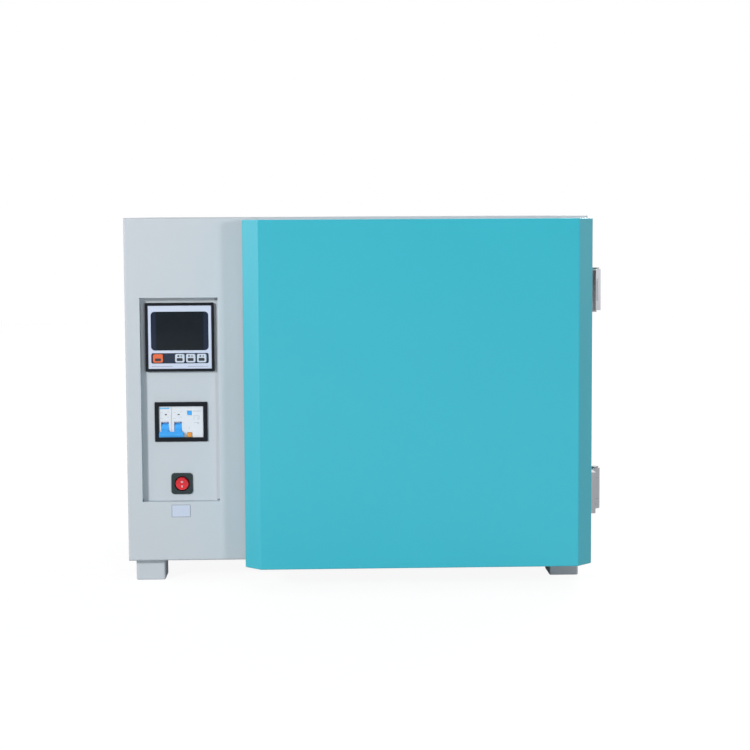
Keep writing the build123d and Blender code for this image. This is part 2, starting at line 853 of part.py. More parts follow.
with BuildPart() as motor_bracket:
    with BuildSketch(level_plane(fan_z - bracket_half)):
        with BuildLine():
            Polyline(
                (partition_left, fan_y - bracket_half - bracket_foot),
                (partition_left, fan_y - bracket_half + bracket_sheet),
                (motor_right + bracket_sheet, fan_y - bracket_half + bracket_sheet),
                (motor_right + bracket_sheet, fan_y + bracket_half - bracket_sheet),
                (partition_left, fan_y + bracket_half - bracket_sheet),
                (partition_left, fan_y + bracket_half + bracket_foot),
                (partition_left - bracket_sheet, fan_y + bracket_half + bracket_foot),
                (partition_left - bracket_sheet, fan_y + bracket_half),
                (motor_right, fan_y + bracket_half),
                (motor_right, fan_y - bracket_half),
                (partition_left - bracket_sheet, fan_y - bracket_half),
                (partition_left - bracket_sheet, fan_y - bracket_half - bracket_foot),
                close=True,
            )
        make_face()
    extrude(amount=2 * bracket_half)
    with BuildSketch(side_plane(motor_right)):
        with Locations((fan_y, fan_z)):
            Circle(motor_boss_radius + packing_gap)
    extrude(amount=bracket_sheet, mode=Mode.SUBTRACT)
motor_bracket.part.label = "motor_bracket"
export_step(motor_bracket.part, "parts/motor_bracket.step")

# Two tubular heater hairpins lie in the duct, above and below the fan.
heater_x = chamber_left + heater_wall_gap
heater_end_x = partition_left - heater_tail
heater_far_y = duct_back - heater_end_gap
with BuildPart() as heater_elements:
    for low_z, high_z in (heater_levels[:2], heater_levels[2:]):
        with BuildLine() as hairpin_path:
            FilletPolyline(
                (heater_end_x, heater_start_y, low_z),
                (heater_x, heater_start_y, low_z),
                (heater_x, heater_far_y, low_z),
                (heater_x, heater_far_y, high_z),
                (heater_x, heater_start_y, high_z),
                (heater_end_x, heater_start_y, high_z),
                radius=heater_bend,
            )
        with BuildSketch(side_plane(heater_end_x)):
            with Locations((heater_start_y, low_z)):
                Circle(heater_radius)
        sweep(path=hairpin_path.wire())
        with BuildSketch(side_plane(partition_left - heater_collar_length)):
            with Locations((heater_start_y, low_z), (heater_start_y, high_z)):
                Circle(heater_collar_radius)
        extrude(amount=heater_collar_length)
heater_elements.part.label = "heater_elements"
export_step(heater_elements.part, "parts/heater_elements.step")

with BuildPart() as temperature_probe:
    with BuildSketch(side_plane(partition_left - probe_nut_length)):
        with Locations((probe_y, probe_z)):
            RegularPolygon(probe_nut_flats / 2, 6, major_radius=False)
    extrude(amount=probe_nut_length)
    with BuildSketch(side_plane(partition_left)):
        with Locations((probe_y, probe_z)):
            Circle(probe_radius)
    extrude(amount=duct_face + probe_reach - partition_left)
    chamfer(temperature_probe.faces().sort_by(Axis.X)[-1].edges(), length=probe_tip_round)
temperature_probe.part.label = "temperature_probe"
export_step(temperature_probe.part, "parts/temperature_probe.step")

# Exhaust: a tube from the chamber out of the back, with a collar, a damper and a fluted knob.
duct_end = cabinet_back + duct_reach
spigot_start = duct_end - spigot_length
spigot_radius = duct_radius - spigot_step
damper_y = cabinet_back + damper_setback
with BuildPart() as vent_duct:
    with BuildSketch(front_plane(chamber_back)):
        with Locations((chamber_middle_x, vent_duct_z)):
            Circle(duct_radius)
    extrude(amount=-(spigot_start - chamber_back))
    with BuildSketch(front_plane(cabinet_back)):
        with Locations((chamber_middle_x, vent_duct_z)):
            Circle(duct_collar_radius)
    extrude(amount=-duct_collar)
    with BuildSketch(front_plane(spigot_start)):
        with Locations((chamber_middle_x, vent_duct_z)):
            Circle(spigot_radius)
    extrude(amount=-spigot_length)
    with BuildSketch(front_plane(chamber_back)):
        with Locations((chamber_middle_x, vent_duct_z)):
            Circle(duct_radius - duct_wall)
    extrude(amount=-(spigot_start - duct_wall - chamber_back), mode=Mode.SUBTRACT)
    with BuildSketch(front_plane(chamber_back)):
        with Locations((chamber_middle_x, vent_duct_z)):
            Circle(spigot_radius - duct_wall)
    extrude(amount=-(duct_end - chamber_back), mode=Mode.SUBTRACT)
    with BuildSketch(side_plane(chamber_middle_x - duct_radius)):
        with Locations((damper_y, vent_duct_z)):
            Circle(spindle_radius + spindle_clearance)
    extrude(amount=2 * duct_radius, mode=Mode.SUBTRACT)
vent_duct.part.label = "vent_duct"
export_step(vent_duct.part, "parts/vent_duct.step")

damper_radius = duct_radius - duct_wall - damper_gap
with BuildPart() as damper_plate:
    with BuildSketch(front_plane(damper_y - damper_sheet)):
        with Locations((chamber_middle_x, vent_duct_z)):
            Circle(damper_radius)
    extrude(amount=-damper_sheet)
damper_plate.part.label = "damper_plate"
export_step(damper_plate.part, "parts/damper_plate.step")

knob_right = chamber_middle_x - duct_radius - knob_gap
with BuildPart() as damper_spindle:
    with BuildSketch(side_plane(knob_right)):
        with Locations((damper_y, vent_duct_z)):
            Circle(spindle_radius)
    extrude(amount=2 * duct_radius + knob_gap)
    with BuildSketch(side_plane(chamber_middle_x - damper_radius - damper_gap / 2)):
        span(
            damper_y - spindle_radius, damper_y, vent_duct_z - spindle_radius, vent_duct_z + spindle_radius
        )
    extrude(amount=2 * damper_radius + damper_gap, mode=Mode.SUBTRACT)
    with BuildSketch(side_plane(knob_right - knob_length)):
        with Locations((damper_y, vent_duct_z)):
            Circle(knob_radius)
            with PolarLocations(knob_radius, knob_flutes):
                Circle(knob_flute_radius, mode=Mode.SUBTRACT)
    extrude(amount=knob_length)
damper_spindle.part.label = "damper_spindle"
export_step(damper_spindle.part, "parts/damper_spindle.step")

# The cable gland is where a stranger's supply cable enters.
with BuildPart() as cable_gland:
    with BuildSketch(front_plane(cabinet_back)):
        with Locations((gland_x, gland_z)):
            RegularPolygon(gland_nut_flats / 2, 6, major_radius=False)
    extrude(amount=-gland_nut_length)
    with BuildSketch(front_plane(cabinet_back + gland_nut_length)):
        with Locations((gland_x, gland_z)):
            Circle(gland_dome_radius)
    extrude(amount=-gland_dome_length)
    dome_edge = cable_gland.faces().sort_by(Axis.Y)[-1].edges()
    chamfer(dome_edge, length=(gland_dome_radius - gland_bore_radius) / 2)
    with BuildSketch(front_plane(skin_back - gland_lock_length)):
        with Locations((gland_x, gland_z)):
            Circle(gland_neck_radius)
    extrude(amount=-(sheet + gland_lock_length))
    with BuildSketch(front_plane(skin_back - gland_lock_length)):
        with Locations((gland_x, gland_z)):
            RegularPolygon(gland_nut_flats / 2, 6, major_radius=False)
    extrude(amount=-gland_lock_length)
    with BuildSketch(front_plane(skin_back - gland_lock_length)):
        with Locations((gland_x, gland_z)):
            Circle(gland_bore_radius)
    extrude(
        amount=-(gland_lock_length + sheet + gland_nut_length + gland_dome_length), mode=Mode.SUBTRACT
    )
cable_gland.part.label = "cable_gland"
export_step(cable_gland.part, "parts/cable_gland.step")

# Door: a folded outer shell with two chamfered uprights, wool inside and a stainless inner panel.
with BuildPart() as door_outer_shell:
    with BuildSketch(level_plane(door_bottom)) as door_outline:
        with BuildLine():
            Polyline(
                (door_left, door_back),
                (door_left, door_front + door_chamfer),
                (door_left + door_chamfer, door_front),
                (door_right - door_chamfer, door_front),
                (door_right, door_front + door_chamfer),
                (door_right, door_back),
                close=True,
            )
        make_face()
    extrude(amount=door_top - door_bottom)
    fillet(door_outer_shell.edges().filter_by(Axis.Z).sort_by(Axis.Y)[:4], radius=door_bend)
    end_edges = door_outer_shell.faces().filter_by(Axis.Z).edges()
    front_edges = end_edges.filter_by(lambda edge: edge.center().Y < door_back - door_edge_bend)
    fillet(front_edges, radius=door_edge_bend)
    offset(amount=-sheet, openings=door_outer_shell.faces().sort_by(Axis.Y)[-1])
    with BuildSketch(front_plane(door_back - sheet)):
        span(door_left, door_right, door_bottom, door_top)
        span(
            door_left + door_return,
            door_right - door_return,
            door_bottom + door_return,
            door_top - door_return,
            mode=Mode.SUBTRACT,
        )
    extrude(amount=-sheet)
door_outer_shell.part.label = "door_outer_shell"
export_step(door_outer_shell.part, "parts/door_outer_shell.step")

with BuildPart() as door_insulation:
    with BuildSketch(level_plane(door_bottom + sheet + packing_gap)):
        with BuildLine():
            Polyline(
                (door_left, door_back - sheet),
                (door_left, door_front + door_chamfer),
                (door_left + door_chamfer, door_front),
                (door_right - door_chamfer, door_front),
                (door_right, door_front + door_chamfer),
                (door_right, door_back - sheet),
                close=True,
            )
        make_face()
        offset(amount=-(sheet + packing_gap), kind=Kind.INTERSECTION)
    extrude(amount=door_top - door_bottom - 2 * (sheet + packing_gap))
    wool_edges = door_insulation.edges().filter_by(Axis.Z).sort_by(Axis.Y)[:4]
    fillet(wool_edges, radius=door_bend)
    end_edges = door_insulation.faces().filter_by(Axis.Z).edges()
    wool_rear = door_insulation.faces().sort_by(Axis.Y)[-1].center().Y
    front_edges = end_edges.filter_by(lambda edge: edge.center().Y < wool_rear - door_edge_bend)
    fillet(front_edges, radius=door_edge_bend)
door_insulation.part.label = "door_insulation"
export_step(door_insulation.part, "parts/door_insulation.step")

pan_left = chamber_left + inner_pan_inset
pan_right = chamber_right - inner_pan_inset
pan_bottom = chamber_bottom + inner_pan_inset
pan_top = chamber_top - inner_pan_inset
with BuildPart() as door_inner_panel:
    with BuildSketch(front_plane(door_back)):
        span(
            door_left + inner_rim_inset,
            door_right - inner_rim_inset,
            door_bottom + inner_rim_inset,
            door_top - inner_rim_inset,
        )
    extrude(amount=-inner_sheet)
    with BuildSketch(front_plane(door_back)):
        round_span(pan_left, pan_right, pan_bottom, pan_top, inner_pan_corner)
    extrude(amount=-(inner_sheet + inner_pan_rise))
    fillet(door_inner_panel.faces().sort_by(Axis.Y)[-1].edges(), radius=inner_pan_bend)
    with BuildSketch(front_plane(door_back)):
        round_span(
            pan_left + inner_sheet,
            pan_right - inner_sheet,
            pan_bottom + inner_sheet,
            pan_top - inner_sheet,
            inner_pan_corner - inner_sheet,
        )
    extrude(amount=-inner_pan_rise, mode=Mode.SUBTRACT)
door_inner_panel.part.label = "door_inner_panel"
export_step(door_inner_panel.part, "parts/door_inner_panel.step")

# Magnet blocks on the mouth frame hold the door by steel strike plates.
magnet_left = fascia_right + magnet_left_margin
magnet_depth = door_gap - inner_sheet - strike_sheet - magnet_air_gap
with BuildPart() as door_magnets:
    with BuildSketch(front_plane(cabinet_front)):
        with Locations((magnet_left + magnet_width / 2, cabinet_middle)):
            with GridLocations(0, magnet_spacing, 1, 2):
                RectangleRounded(magnet_width, magnet_height, magnet_width / 4)
    extrude(amount=magnet_depth)
door_magnets.part.label = "door_magnets"
export_step(door_magnets.part, "parts/door_magnets.step")

with BuildPart() as strike_plates:
    with BuildSketch(front_plane(door_back + inner_sheet)):
        with Locations((magnet_left + magnet_width / 2, cabinet_middle)):
            with GridLocations(0, magnet_spacing, 1, 2):
                RectangleRounded(
                    magnet_width + 2 * strike_margin, magnet_height + 2 * strike_margin, magnet_width / 4
                )
    extrude(amount=-strike_sheet)
strike_plates.part.label = "strike_plates"
export_step(strike_plates.part, "parts/strike_plates.step")

# Hinges: cast leaves with interleaved knuckles on one pin, the pin fixed in the middle knuckle.
hinge_x = cabinet_right + hinge_axis_proud
hinge_y = cabinet_front - door_gap / 2
hinge_middle = cabinet_middle - hinge_drop
hinge_levels = (hinge_middle - hinge_spacing / 2, hinge_middle + hinge_spacing / 2)
middle_half = hinge_middle_share / 2
leaf_back = hinge_y - hinge_door_setback
with BuildPart() as hinge_door_leaves:
    for level in hinge_levels:
        with BuildSketch(level_plane(level - hinge_height / 2)) as leaf_outline:
            span(door_right, door_right + hinge_door_leaf, leaf_back - hinge_leaf_depth, leaf_back)
            fillet(leaf_outline.vertices().sort_by(Axis.Y)[:2].sort_by(Axis.X)[-1], radius=hinge_leaf_bend)
        extrude(amount=hinge_height)
        with BuildSketch(level_plane(level - hinge_height / 2)):
            with Locations((hinge_x, hinge_y)):
                Circle(hinge_barrel_radius)
            span(cabinet_right, door_right + hinge_door_leaf, leaf_back - hinge_door_web, leaf_back)
            make_hull()
            with Locations((hinge_x, hinge_y)):
                Circle(hinge_pin_radius + hinge_run_gap, mode=Mode.SUBTRACT)
        extrude(amount=hinge_height)
        with BuildSketch(level_plane(level - middle_half - hinge_knuckle_gap)):
            with Locations((hinge_x, hinge_y)):
                Circle(hinge_door_setback)
        extrude(amount=2 * (middle_half + hinge_knuckle_gap), mode=Mode.SUBTRACT)
hinge_door_leaves.part.label = "hinge_door_leaves"
export_step(hinge_door_leaves.part, "parts/hinge_door_leaves.step")

leaf_front = hinge_y + hinge_cabinet_setback
leaf_right = cabinet_right + hinge_cabinet_leaf
with BuildPart() as hinge_cabinet_leaves:
    for level in hinge_levels:
        with BuildSketch(level_plane(level - hinge_height / 2)) as leaf_outline:
            span(cabinet_right, leaf_right, leaf_front, leaf_front + hinge_leaf_depth)
            fillet(leaf_outline.vertices().sort_by(Axis.Y)[2:].sort_by(Axis.X)[-1], radius=hinge_leaf_bend)
        extrude(amount=hinge_height)
        with BuildSketch(level_plane(level - middle_half)):
            with Locations((hinge_x, hinge_y)):
                Circle(hinge_barrel_radius)
            span(cabinet_right, leaf_right, leaf_front, leaf_front + hinge_cabinet_web)
            make_hull()
            with Locations((hinge_x, hinge_y)):
                Circle(hinge_pin_radius + hinge_press_gap, mode=Mode.SUBTRACT)
        extrude(amount=2 * middle_half)
hinge_cabinet_leaves.part.label = "hinge_cabinet_leaves"
export_step(hinge_cabinet_leaves.part, "parts/hinge_cabinet_leaves.step")

with BuildPart() as hinge_pins:
    for level in hinge_levels:
        with BuildSketch(level_plane(level - hinge_height / 2)):
            with Locations((hinge_x, hinge_y)):
                Circle(hinge_pin_radius)
        extrude(amount=hinge_height + hinge_knuckle_gap)
        with BuildSketch(level_plane(level + hinge_height / 2 + hinge_knuckle_gap)):
            with Locations((hinge_x, hinge_y)):
                Circle(hinge_head_radius)
        extrude(amount=hinge_head)
hinge_pins.part.label = "hinge_pins"
export_step(hinge_pins.part, "parts/hinge_pins.step")

# Temperature controller: a moulded case with a bezel, a faceplate, a window and a key strip.
bezel_front = panel_front - controller_proud
face_front = bezel_front + face_sink
face_back = face_front + face_sheet
face_size = controller_size - 2 * controller_border
keypad_front = face_front + keypad_sink
key_front = face_front - key_proud
key_back = key_front + key_length
key_well_back = key_back + key_travel + key_gap
keypad_z = controller_z - keypad_drop
key_places = {"key_set": (orange_key_place, key_wide)}
for number, place in enumerate(white_key_places, start=1):
    key_places[f"key_white_{number}"] = (place, key_narrow)

with BuildPart() as controller_housing:
    with BuildSketch(front_plane(bezel_front)):
        with Locations((device_x, controller_z)):
            RectangleRounded(controller_size, controller_size, controller_corner)
    extrude(amount=-controller_proud)
    chamfer(controller_housing.faces().sort_by(Axis.Y)[0].edges(), length=controller_edge)
    with BuildSketch(front_plane(panel_front)):
        with Locations((device_x, controller_z)):
            Rectangle(controller_body, controller_body)
    extrude(amount=-controller_depth)
    with BuildSketch(front_plane(bezel_front)):
        with Locations((device_x, controller_z)):
            Rectangle(face_size, face_size)
    extrude(amount=-(face_back - bezel_front), mode=Mode.SUBTRACT)
    with BuildSketch(front_plane(face_back)):
        for place, width in key_places.values():
            with Locations((device_x + place, keypad_z)):
                Rectangle(width + 2 * key_gap, key_height + 2 * key_gap)
    extrude(amount=-(key_well_back - face_back), mode=Mode.SUBTRACT)
controller_housing.part.label = "controller_housing"
export_step(controller_housing.part, "parts/controller_housing.step")

with BuildPart() as controller_faceplate:
    with BuildSketch(front_plane(face_front)):
        with Locations((device_x, controller_z)):
            Rectangle(face_size - 2 * fit_gap, face_size - 2 * fit_gap)
        with Locations((device_x, controller_z + window_rise)):
            RectangleRounded(window_width, window_height, window_corner, mode=Mode.SUBTRACT)
        with Locations((device_x, keypad_z)):
            RectangleRounded(keypad_width, keypad_height, keypad_corner, mode=Mode.SUBTRACT)
    extrude(amount=-face_sheet)
controller_faceplate.part.label = "controller_faceplate"
export_step(controller_faceplate.part, "parts/controller_faceplate.step")

with BuildPart() as controller_window:
    with BuildSketch(front_plane(face_front + window_sink)):
        with Locations((device_x, controller_z + window_rise)):
            RectangleRounded(
                window_width - 2 * fit_gap, window_height - 2 * fit_gap, window_corner - fit_gap
            )
    extrude(amount=-(face_sheet - window_sink))
controller_window.part.label = "controller_window"
export_step(controller_window.part, "parts/controller_window.step")

with BuildPart() as keypad_strip:
    with BuildSketch(front_plane(keypad_front)):
        with Locations((device_x, keypad_z)):
            RectangleRounded(
                keypad_width - 2 * fit_gap, keypad_height - 2 * fit_gap, keypad_corner - fit_gap
            )
        for place, width in key_places.values():
            with Locations((device_x + place, keypad_z)):
                RectangleRounded(
                    width + 2 * key_gap, key_height + 2 * key_gap, key_corner + key_gap, mode=Mode.SUBTRACT
                )
    extrude(amount=-(face_back - keypad_front))
keypad_strip.part.label = "keypad_strip"
export_step(keypad_strip.part, "parts/keypad_strip.step")

for key_name, (place, width) in key_places.items():
    with BuildPart() as key:
        with BuildSketch(front_plane(key_front)):
            with Locations((device_x + place, keypad_z)):
                RectangleRounded(width, key_height, key_corner)
        extrude(amount=-key_length)
        chamfer(key.faces().sort_by(Axis.Y)[0].edges(), length=key_edge)
    key.part.label = key_name
    export_step(key.part, f"parts/{key_name}.step")

# Two clamps hook on the case and press on the back of the instrument panel.
with BuildPart() as controller_clamps:
    clamp_offset = (controller_body + clamp_height) / 2
    with BuildSketch(front_plane(panel_back)):
        with Locations((device_x, controller_z + clamp_offset), (device_x, controller_z - clamp_offset)):
            Rectangle(clamp_width, clamp_height)
    extrude(amount=-clamp_length)
controller_clamps.part.label = "controller_clamps"
export_step(controller_clamps.part, "parts/controller_clamps.step")

# Breaker: trim frame, two-pole body, leakage module, tied lever and two buttons.
nose_front = panel_front - nose_proud
shoulder_y = nose_front + nose_length
breaker_back = shoulder_y + breaker_body_depth
breaker_left = device_x - nose_width / 2
module_left = breaker_left + pole_count * pole_width
module_right = module_left + module_width
lever_y = nose_front + lever_axis_depth
lever_z = breaker_z - lever_axis_drop
rail_front = breaker_back - rail_slot_depth
pole_middles = [breaker_left + pole_width * (number + 0.5) for number in range(pole_count)]

with BuildPart() as breaker_frame:
    with BuildSketch(front_plane(panel_front - frame_proud)):
        with Locations((device_x, breaker_z)):
            RectangleRounded(
                frame_inner_width + 2 * frame_border, frame_inner_height + 2 * frame_border, frame_corner
            )
    extrude(amount=-frame_proud)
    chamfer(breaker_frame.faces().sort_by(Axis.Y)[0].edges(), length=frame_edge)
    with BuildSketch(front_plane(panel_front)):
        with Locations((device_x, breaker_z)):
            Rectangle(sleeve_width, sleeve_height)
    extrude(amount=-frame_sleeve)
    with BuildSketch(front_plane(panel_front - frame_proud)):
        with Locations((device_x, breaker_z)):
            Rectangle(frame_inner_width, frame_inner_height)
    extrude(amount=-(frame_proud + frame_sleeve), mode=Mode.SUBTRACT)
    with BuildSketch(front_plane(nose_front - frame_nose_gap)):
        with Locations((device_x, breaker_z)):
            Rectangle(nose_width + 2 * nose_gap, nose_height + 2 * nose_gap)
    extrude(amount=-(nose_proud + frame_nose_gap + frame_sleeve), mode=Mode.SUBTRACT)
breaker_frame.part.label = "breaker_frame"
export_step(breaker_frame.part, "parts/breaker_frame.step")


def breaker_profile():
    """The side outline that every modular breaker shares: nose, shoulders and rail slot."""
    half_nose = nose_height / 2
    half_body = breaker_body_height / 2
    half_slot = rail_height / 2 + rail_slot_gap
    Polygon(
        (nose_front, breaker_z - half_nose),
        (shoulder_y, breaker_z - half_nose),
        (shoulder_y, breaker_z - half_body),
        (breaker_back, breaker_z - half_body),
        (breaker_back, breaker_z - half_slot),
        (rail_front - rail_slot_gap, breaker_z - half_slot),
        (rail_front - rail_slot_gap, breaker_z + half_slot),
        (breaker_back, breaker_z + half_slot),
        (breaker_back, breaker_z + half_body),
        (shoulder_y, breaker_z + half_body),
        (shoulder_y, breaker_z + half_nose),
        (nose_front, breaker_z + half_nose),
        align=None,
    )


with BuildPart() as breaker_body:
    with BuildSketch(side_plane(breaker_left)):
        breaker_profile()
    extrude(amount=pole_count * pole_width)
    slot_width = lever_tab_width + 2 * lever_gap
    arm_rise = lever_axis_depth * tan(radians(lever_angle))
    half_slot = arm_rise + lever_tab_thickness / 2 / cos(radians(lever_angle)) + lever_gap
    for pole_x in pole_middles:
        with BuildSketch(side_plane(pole_x - slot_width / 2)):
            span(nose_front, lever_y, lever_z - half_slot, lever_z + half_slot)
            with Locations((lever_y, lever_z)):
                Circle(lever_hub_radius + lever_gap)
                Circle(lever_pin_radius, mode=Mode.SUBTRACT)
        extrude(amount=slot_width, mode=Mode.SUBTRACT)
    with BuildSketch(front_plane(nose_front)):
        with Locations((breaker_left + pole_width, breaker_z)):
            Rectangle(seam_width, nose_height)
    extrude(amount=-seam_depth, mode=Mode.SUBTRACT)
breaker_body.part.label = "breaker_body"
export_step(breaker_body.part, "parts/breaker_body.step")

button_x = module_left + module_button_place
test_z = breaker_z - test_button_drop
reset_z = breaker_z + reset_button_rise
test_back = nose_front - test_button_proud + test_button_length
reset_back = nose_front - reset_button_proud + test_button_length
with BuildPart() as leakage_module:
    with BuildSketch(side_plane(module_left)):
        breaker_profile()
    extrude(amount=module_width)
    with BuildSketch(front_plane(nose_front)):
        with Locations((button_x, test_z)):
            Rectangle(test_button_size + 2 * button_gap, test_button_size + 2 * button_gap)
    extrude(amount=-(test_back + test_button_travel + button_gap - nose_front), mode=Mode.SUBTRACT)
    with BuildSketch(front_plane(nose_front)):
        with Locations((button_x, reset_z)):
            Rectangle(reset_button_size + 2 * button_gap, reset_button_size + 2 * button_gap)
    extrude(amount=-(reset_back + button_gap - nose_front), mode=Mode.SUBTRACT)
leakage_module.part.label = "leakage_module"
export_step(leakage_module.part, "parts/leakage_module.step")

with BuildPart() as breaker_test_button:
    with BuildSketch(front_plane(nose_front - test_button_proud)):
        with Locations((button_x, test_z)):
            RectangleRounded(test_button_size, test_button_size, button_corner)
    extrude(amount=-test_button_length)
    chamfer(breaker_test_button.faces().sort_by(Axis.Y)[0].edges(), length=button_edge)
breaker_test_button.part.label = "breaker_test_button"
export_step(breaker_test_button.part, "parts/breaker_test_button.step")

with BuildPart() as breaker_reset_button:
    with BuildSketch(front_plane(nose_front - reset_button_proud)):
        with Locations((button_x, reset_z)):
            RectangleRounded(reset_button_size, reset_button_size, button_corner)
    extrude(amount=-test_button_length)
    chamfer(breaker_reset_button.faces().sort_by(Axis.Y)[0].edges(), length=button_edge)
breaker_reset_button.part.label = "breaker_reset_button"
export_step(breaker_reset_button.part, "parts/breaker_reset_button.step")

# The lever hangs down at rest, which is off. Its arms lie along the direction lever_out.
lever_direction = (-cos(radians(lever_angle)), -sin(radians(lever_angle)))


def lever_plane(width_place):
    """A side plane at the lever's axis, turned so that across runs out along the arm."""
    return Plane(
        origin=(width_place, lever_y, lever_z),
        x_dir=(0, lever_direction[0], lever_direction[1]),
        z_dir=(1, 0, 0),
    )


with BuildPart() as breaker_lever:
    for pole_x in pole_middles:
        with BuildSketch(lever_plane(pole_x - lever_tab_width / 2)):
            Circle(lever_hub_radius)
            span(0, lever_radius, -lever_tab_thickness / 2, lever_tab_thickness / 2)
            Circle(lever_pin_radius + lever_pin_clearance, mode=Mode.SUBTRACT)
        extrude(amount=lever_tab_width)
    bar_left = breaker_left + lever_bar_overhang
    with BuildSketch(lever_plane(bar_left)):
        with Locations((lever_radius, 0)):
            RectangleRounded(lever_bar_length, lever_bar_thickness, lever_bar_thickness / 4)
    extrude(amount=pole_count * pole_width - 2 * lever_bar_overhang)
breaker_lever.part.label = "breaker_lever"
export_step(breaker_lever.part, "parts/breaker_lever.step")

# The rail is a folded hat section, held between the legs of a bracket behind the panel.
hat_back = rail_front + rail_hat_depth
rail_left = breaker_left - rail_overhang
rail_right = module_right + rail_overhang
with BuildPart() as mounting_rail:
    with BuildSketch(side_plane(rail_left)):
        with BuildLine():
            half_rail = rail_height / 2
            half_hat = rail_hat_height / 2
            Polyline(
                (rail_front, breaker_z - half_rail),
                (rail_front, breaker_z - half_hat + rail_sheet),
                (hat_back - rail_sheet, breaker_z - half_hat + rail_sheet),
                (hat_back - rail_sheet, breaker_z + half_hat - rail_sheet),
                (rail_front, breaker_z + half_hat - rail_sheet),
                (rail_front, breaker_z + half_rail),
                (rail_front + rail_sheet, breaker_z + half_rail),
                (rail_front + rail_sheet, breaker_z + half_hat),
                (hat_back, breaker_z + half_hat),
                (hat_back, breaker_z - half_hat),
                (rail_front + rail_sheet, breaker_z - half_hat),
                (rail_front + rail_sheet, breaker_z - half_rail),
                close=True,
            )
        make_face()
    extrude(amount=rail_right - rail_left)
mounting_rail.part.label = "mounting_rail"
export_step(mounting_rail.part, "parts/mounting_rail.step")

with BuildPart() as rail_bracket:
    with BuildSketch(level_plane(breaker_z - rail_bracket_height / 2)):
        with BuildLine():
            Polyline(
                (rail_left - bracket_foot, panel_back),
                (rail_left, panel_back),
                (rail_left, hat_back),
                (rail_right, hat_back),
                (rail_right, panel_back),
                (rail_right + bracket_foot, panel_back),
                (rail_right + bracket_foot, panel_back + bracket_sheet),
                (rail_right + bracket_sheet, panel_back + bracket_sheet),
                (rail_right + bracket_sheet, hat_back + bracket_sheet),
                (rail_left - bracket_sheet, hat_back + bracket_sheet),
                (rail_left - bracket_sheet, panel_back + bracket_sheet),
                (rail_left - bracket_foot, panel_back + bracket_sheet),
                close=True,
            )
        make_face()
    extrude(amount=rail_bracket_height)
rail_bracket.part.label = "rail_bracket"
export_step(rail_bracket.part, "parts/rail_bracket.step")

# Power switch: a square bezel on a round barrel, with a cross pin that the round rocker tilts on.
switch_front = panel_front - switch_proud
rocker_y = switch_front + rocker_axis_depth
with BuildPart() as power_switch_body:
    with BuildSketch(front_plane(switch_front)):
        with Locations((device_x, switch_z)):
            RectangleRounded(switch_size, switch_size, switch_corner)
    extrude(amount=-switch_proud)
    chamfer(power_switch_body.faces().sort_by(Axis.Y)[0].edges(), length=switch_edge)
    with BuildSketch(front_plane(panel_front)):
        with Locations((device_x, switch_z)):
            Circle(switch_barrel_radius)
    extrude(amount=-switch_barrel_length)
    with BuildSketch(front_plane(panel_front + switch_barrel_length)):
        with Locations((device_x, switch_z)):
            with GridLocations(terminal_spacing, 0, 2, 1):
                Rectangle(terminal_sheet, terminal_width)
    extrude(amount=-terminal_length)
    with BuildSketch(front_plane(switch_front)):
        with Locations((device_x, switch_z)):
            Circle(switch_bore_radius)
    extrude(amount=-switch_bore_depth, mode=Mode.SUBTRACT)
    with BuildSketch(side_plane(device_x - switch_bore_radius)):
        with Locations((rocker_y, switch_z)):
            Circle(rocker_pin_radius)
    extrude(amount=2 * switch_bore_radius)
power_switch_body.part.label = "power_switch_body"
export_step(power_switch_body.part, "parts/power_switch_body.step")

rocker_lean = radians(rocker_tilt)
rocker_reach = rocker_radius + rocker_front
with BuildPart() as power_rocker:
    with BuildSketch(level_plane(switch_z)):
        with Locations((device_x, rocker_y)):
            Circle(rocker_radius)
            span(0, rocker_radius, -rocker_radius, rocker_radius, mode=Mode.INTERSECT)
    revolve(axis=Axis((device_x, rocker_y, switch_z), (0, 1, 0)))
    rocker_side = Plane(
        origin=(device_x - rocker_reach, rocker_y, switch_z),
        x_dir=(0, cos(rocker_lean), sin(rocker_lean)),
        z_dir=(1, 0, 0),
    )
    with BuildSketch(rocker_side):
        with BuildLine():
            Polyline(
                (-rocker_front, -rocker_radius),
                (-rocker_front, -rocker_reach),
                (rocker_back, -rocker_reach),
                (rocker_back, rocker_reach),
                (-rocker_front, rocker_reach),
                (-rocker_front, rocker_radius),
                (-rocker_valley, 0),
                close=True,
            )
        make_face()
    extrude(amount=2 * rocker_reach, mode=Mode.INTERSECT)
    with BuildSketch(side_plane(device_x - rocker_radius)):
        with Locations((rocker_y, switch_z)):
            Circle(rocker_pin_radius + rocker_pin_clearance)
    extrude(amount=2 * rocker_radius, mode=Mode.SUBTRACT)
power_rocker.part.label = "power_rocker"
export_step(power_rocker.part, "parts/power_rocker.step")

# Relay on its heat sink, whose fins stand against the partition so that air rises between them.
sink_back = skin_back - sink_rear_margin
sink_bottom = cabinet_top - sink_drop - sink_height
sink_left = partition_left - sink_base - sink_fin
with BuildPart() as heat_sink:
    with BuildSketch(level_plane(sink_bottom)):
        span(sink_left, sink_left + sink_base, sink_back - sink_width, sink_back)
        with Locations((sink_left + sink_base + sink_fin / 2, sink_back - sink_width / 2)):
            with GridLocations(0, (sink_width - sink_fin_sheet) / (sink_fins - 1), 1, sink_fins):
                Rectangle(sink_fin, sink_fin_sheet)
    extrude(amount=sink_height)
heat_sink.part.label = "heat_sink"
export_step(heat_sink.part, "parts/heat_sink.step")

with BuildPart() as solid_state_relay:
    with BuildSketch(side_plane(sink_left)):
        with Locations((sink_back - sink_width / 2, sink_bottom + sink_height / 2)):
            RectangleRounded(relay_width, relay_height, relay_corner)
    extrude(amount=-relay_depth)
solid_state_relay.part.label = "solid_state_relay"
export_step(solid_state_relay.part, "parts/solid_state_relay.step")

